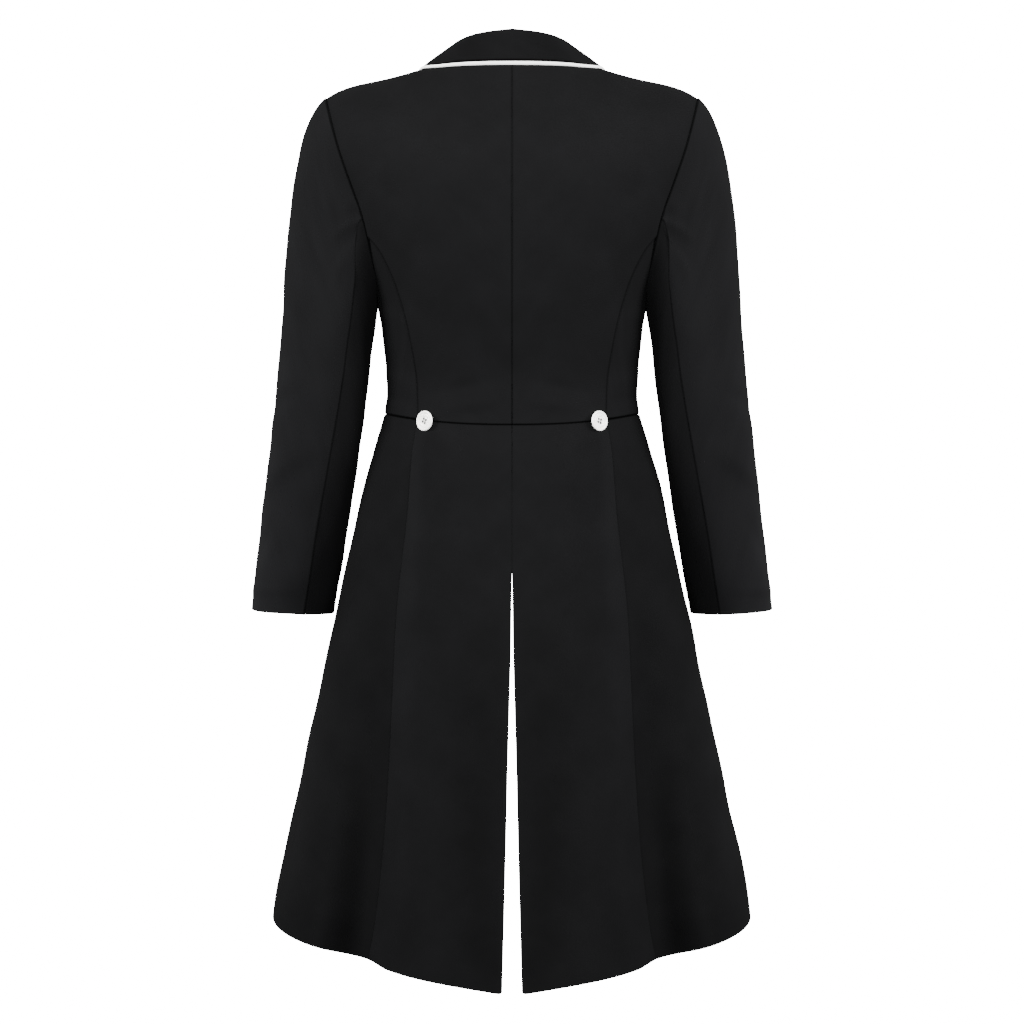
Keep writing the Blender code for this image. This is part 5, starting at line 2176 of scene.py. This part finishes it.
    def places(self) -> dict[str, tuple[Points, Points]]:
        """Where each button stands and the way it faces.

        Returns:
            The foot and the facing for each node.
        """
        torso = self.torso
        foot = torso.stand_out(np.array(self.back_x), np.array(self.back_z), True, self.back_lift)
        out = torso.facing(torso.angle_at(self.back_x, self.back_z), np.array(self.back_z))
        out = unit(np.array(Matrix.Rotation(-self.back_turn, 3, "Z") @ Vector(out)) - (0, 0, self.back_nod))
        found = {"button_back_left": (foot, out), "button_back_right": (foot * (-1, 1, 1), out * (-1, 1, 1))}
        for number, z in enumerate(self.front_z, 1):
            lift = torso.lap_lift(0.0, z) + self.front_lift
            foot = torso.stand_out(np.array(0.0), np.array(z), False, lift)
            found[f"button_front_{number}"] = (foot, torso.facing(np.array(-math.pi / 2), np.array(z)))
        return found

    def build(self, palette: Palette) -> None:
        """Makes and dresses each button, its thread and the dark plugs of painted shadow in its holes.

        Args:
            palette: The garment's finishes.
        """
        drilled, thread, knots = self.drilled(), self.thread(), self.knots()
        for node, (foot, out) in self.places().items():
            turn = Vector((0, 0, 1)).rotation_difference(Vector(out)).to_matrix().to_4x4()
            turn.translation = Vector(foot)
            for name, source, material in (
                ("turned_" + node, drilled, palette.pearl),
                ("thread_" + node, thread, palette.white_thread),
                # dark plugs of painted shadow in the holes
                ("knots_" + node, knots, palette.dark_thread),
            ):
                mesh = source.copy()
                mesh.transform(turn @ Matrix.Scale(self.back_size if "back" in node else 1.0, 4))
                mesh.shade_smooth()
                if name.startswith("turned"):
                    mesh.set_sharp_from_angle(angle=self.sharp_angle)
                nodes = (node,) if name.startswith("turned") else ()
                dress(placed(name, mesh), material, "button_resin", *nodes)


class LampRow(NamedTuple):
    """A soft lamp: its name, place, size and power."""

    name: str
    place: tuple[float, float, float]
    size: tuple[float, float]
    power: float


@dataclass(frozen=True)
class Studio:
    """Pale floor where the wearer would stand, soft light from both sides, and the photograph's camera."""

    camera_away: float = 5.0
    camera_level: float = -0.4675
    lens: float = 165.8
    floor_level: float = -1.45
    floor_radius: float = 3.0
    sensor: float = 36.0
    lamps: tuple[LampRow, ...] = (
        LampRow("lamp_back_left", (1.7, 0.9, 0.5), (0.9, 1.2), 116.0),
        LampRow("lamp_front_left", (1.7, -1.1, 0.5), (0.9, 1.2), 98.0),
        LampRow("lamp_back_right", (-1.7, 0.9, 0.5), (0.9, 1.2), 116.0),
        LampRow("lamp_front_right", (-1.7, -1.1, 0.5), (0.9, 1.2), 98.0),
        LampRow("lamp_back", (0.0, 2.1, 0.45), (1.8, 0.7), 142.0),
        LampRow("lamp_front", (0.0, -2.1, 0.45), (1.8, 0.7), 126.0),
    )
    ambient: float = 0.35
    backdrop: float = 22.0

    def camera(self) -> None:
        """Looks level at the coat's back."""
        data = bpy.data.cameras.new("camera")
        data.lens = self.lens
        data.sensor_width = self.sensor
        seen = placed("camera", data)
        seen.location = (0, self.camera_away, self.camera_level)
        seen.rotation_euler = (math.radians(90), 0, math.radians(180))
        bpy.context.scene.camera = seen

    def lamp(self, row: LampRow) -> None:
        """Sets up a rectangular lamp that faces the middle of the coat.

        Args:
            row: The lamp.
        """
        data = bpy.data.lights.new(row.name, "AREA")
        data.shape = "RECTANGLE"
        data.size, data.size_y = row.size
        data.energy = row.power
        lamp = placed(row.name, data)
        lamp.location = row.place
        aim = Vector((0, 0, self.camera_level)) - Vector(row.place)
        lamp.rotation_euler = aim.to_track_quat("-Z", "Y").to_euler()
        lamp.visible_camera = False

    def world(self) -> None:
        """An even white surround, brighter to the eye than the light that it gives."""
        world = bpy.data.worlds.new("surround")
        world.use_nodes = True
        world.node_tree.nodes.clear()
        tree = world.node_tree
        given, seen = (
            add_node(tree, "ShaderNodeBackground", {}, {"Color": linear(WHITE), "Strength": strength})
            for strength in (self.ambient, self.backdrop)
        )
        rays = add_node(tree, "ShaderNodeLightPath", {}, {}).outputs["Is Camera Ray"]
        mixed = add_node(
            tree, "ShaderNodeMixShader", {}, {0: rays, 1: given.outputs[0], 2: seen.outputs[0]}
        )
        add_node(tree, "ShaderNodeOutputWorld", {}, {"Surface": mixed.outputs[0]})
        bpy.context.scene.world = world

    def floor(self) -> None:
        """A round floor, not part of the coat."""
        mesh = bmesh.new()
        bmesh.ops.create_circle(
            mesh, cap_ends=True, segments=96, radius=self.floor_radius,
            matrix=Matrix.Translation((0, 0, self.floor_level)),
        )
        data = plain_mesh("studio_floor", mesh)
        data.materials.append(PaleFloor().build())
        floor = placed("studio_floor", data)
        floor.visible_diffuse = False

    def build(self) -> None:
        """Sets up the surround, the lamps and the camera."""
        self.camera()
        self.world()
        self.floor()
        for row in self.lamps:
            self.lamp(row)


def main() -> None:
    """Builds the coat and the studio."""
    logging.basicConfig(level=logging.INFO, format="%(message)s")
    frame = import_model()
    log.info("solids in the frame: %d", len(frame["nodes"]))
    palette = Palette.made()
    torso = TorsoForm()
    Studio().build()
    Bodice(torso).build(palette)
    Tails(TailForm(torso)).build(palette)
    Sleeves(SleeveForm(torso)).build(palette)
    Collar(torso).build(palette)
    Buttons(torso).build(palette)


if __name__ == "__main__":
    main()
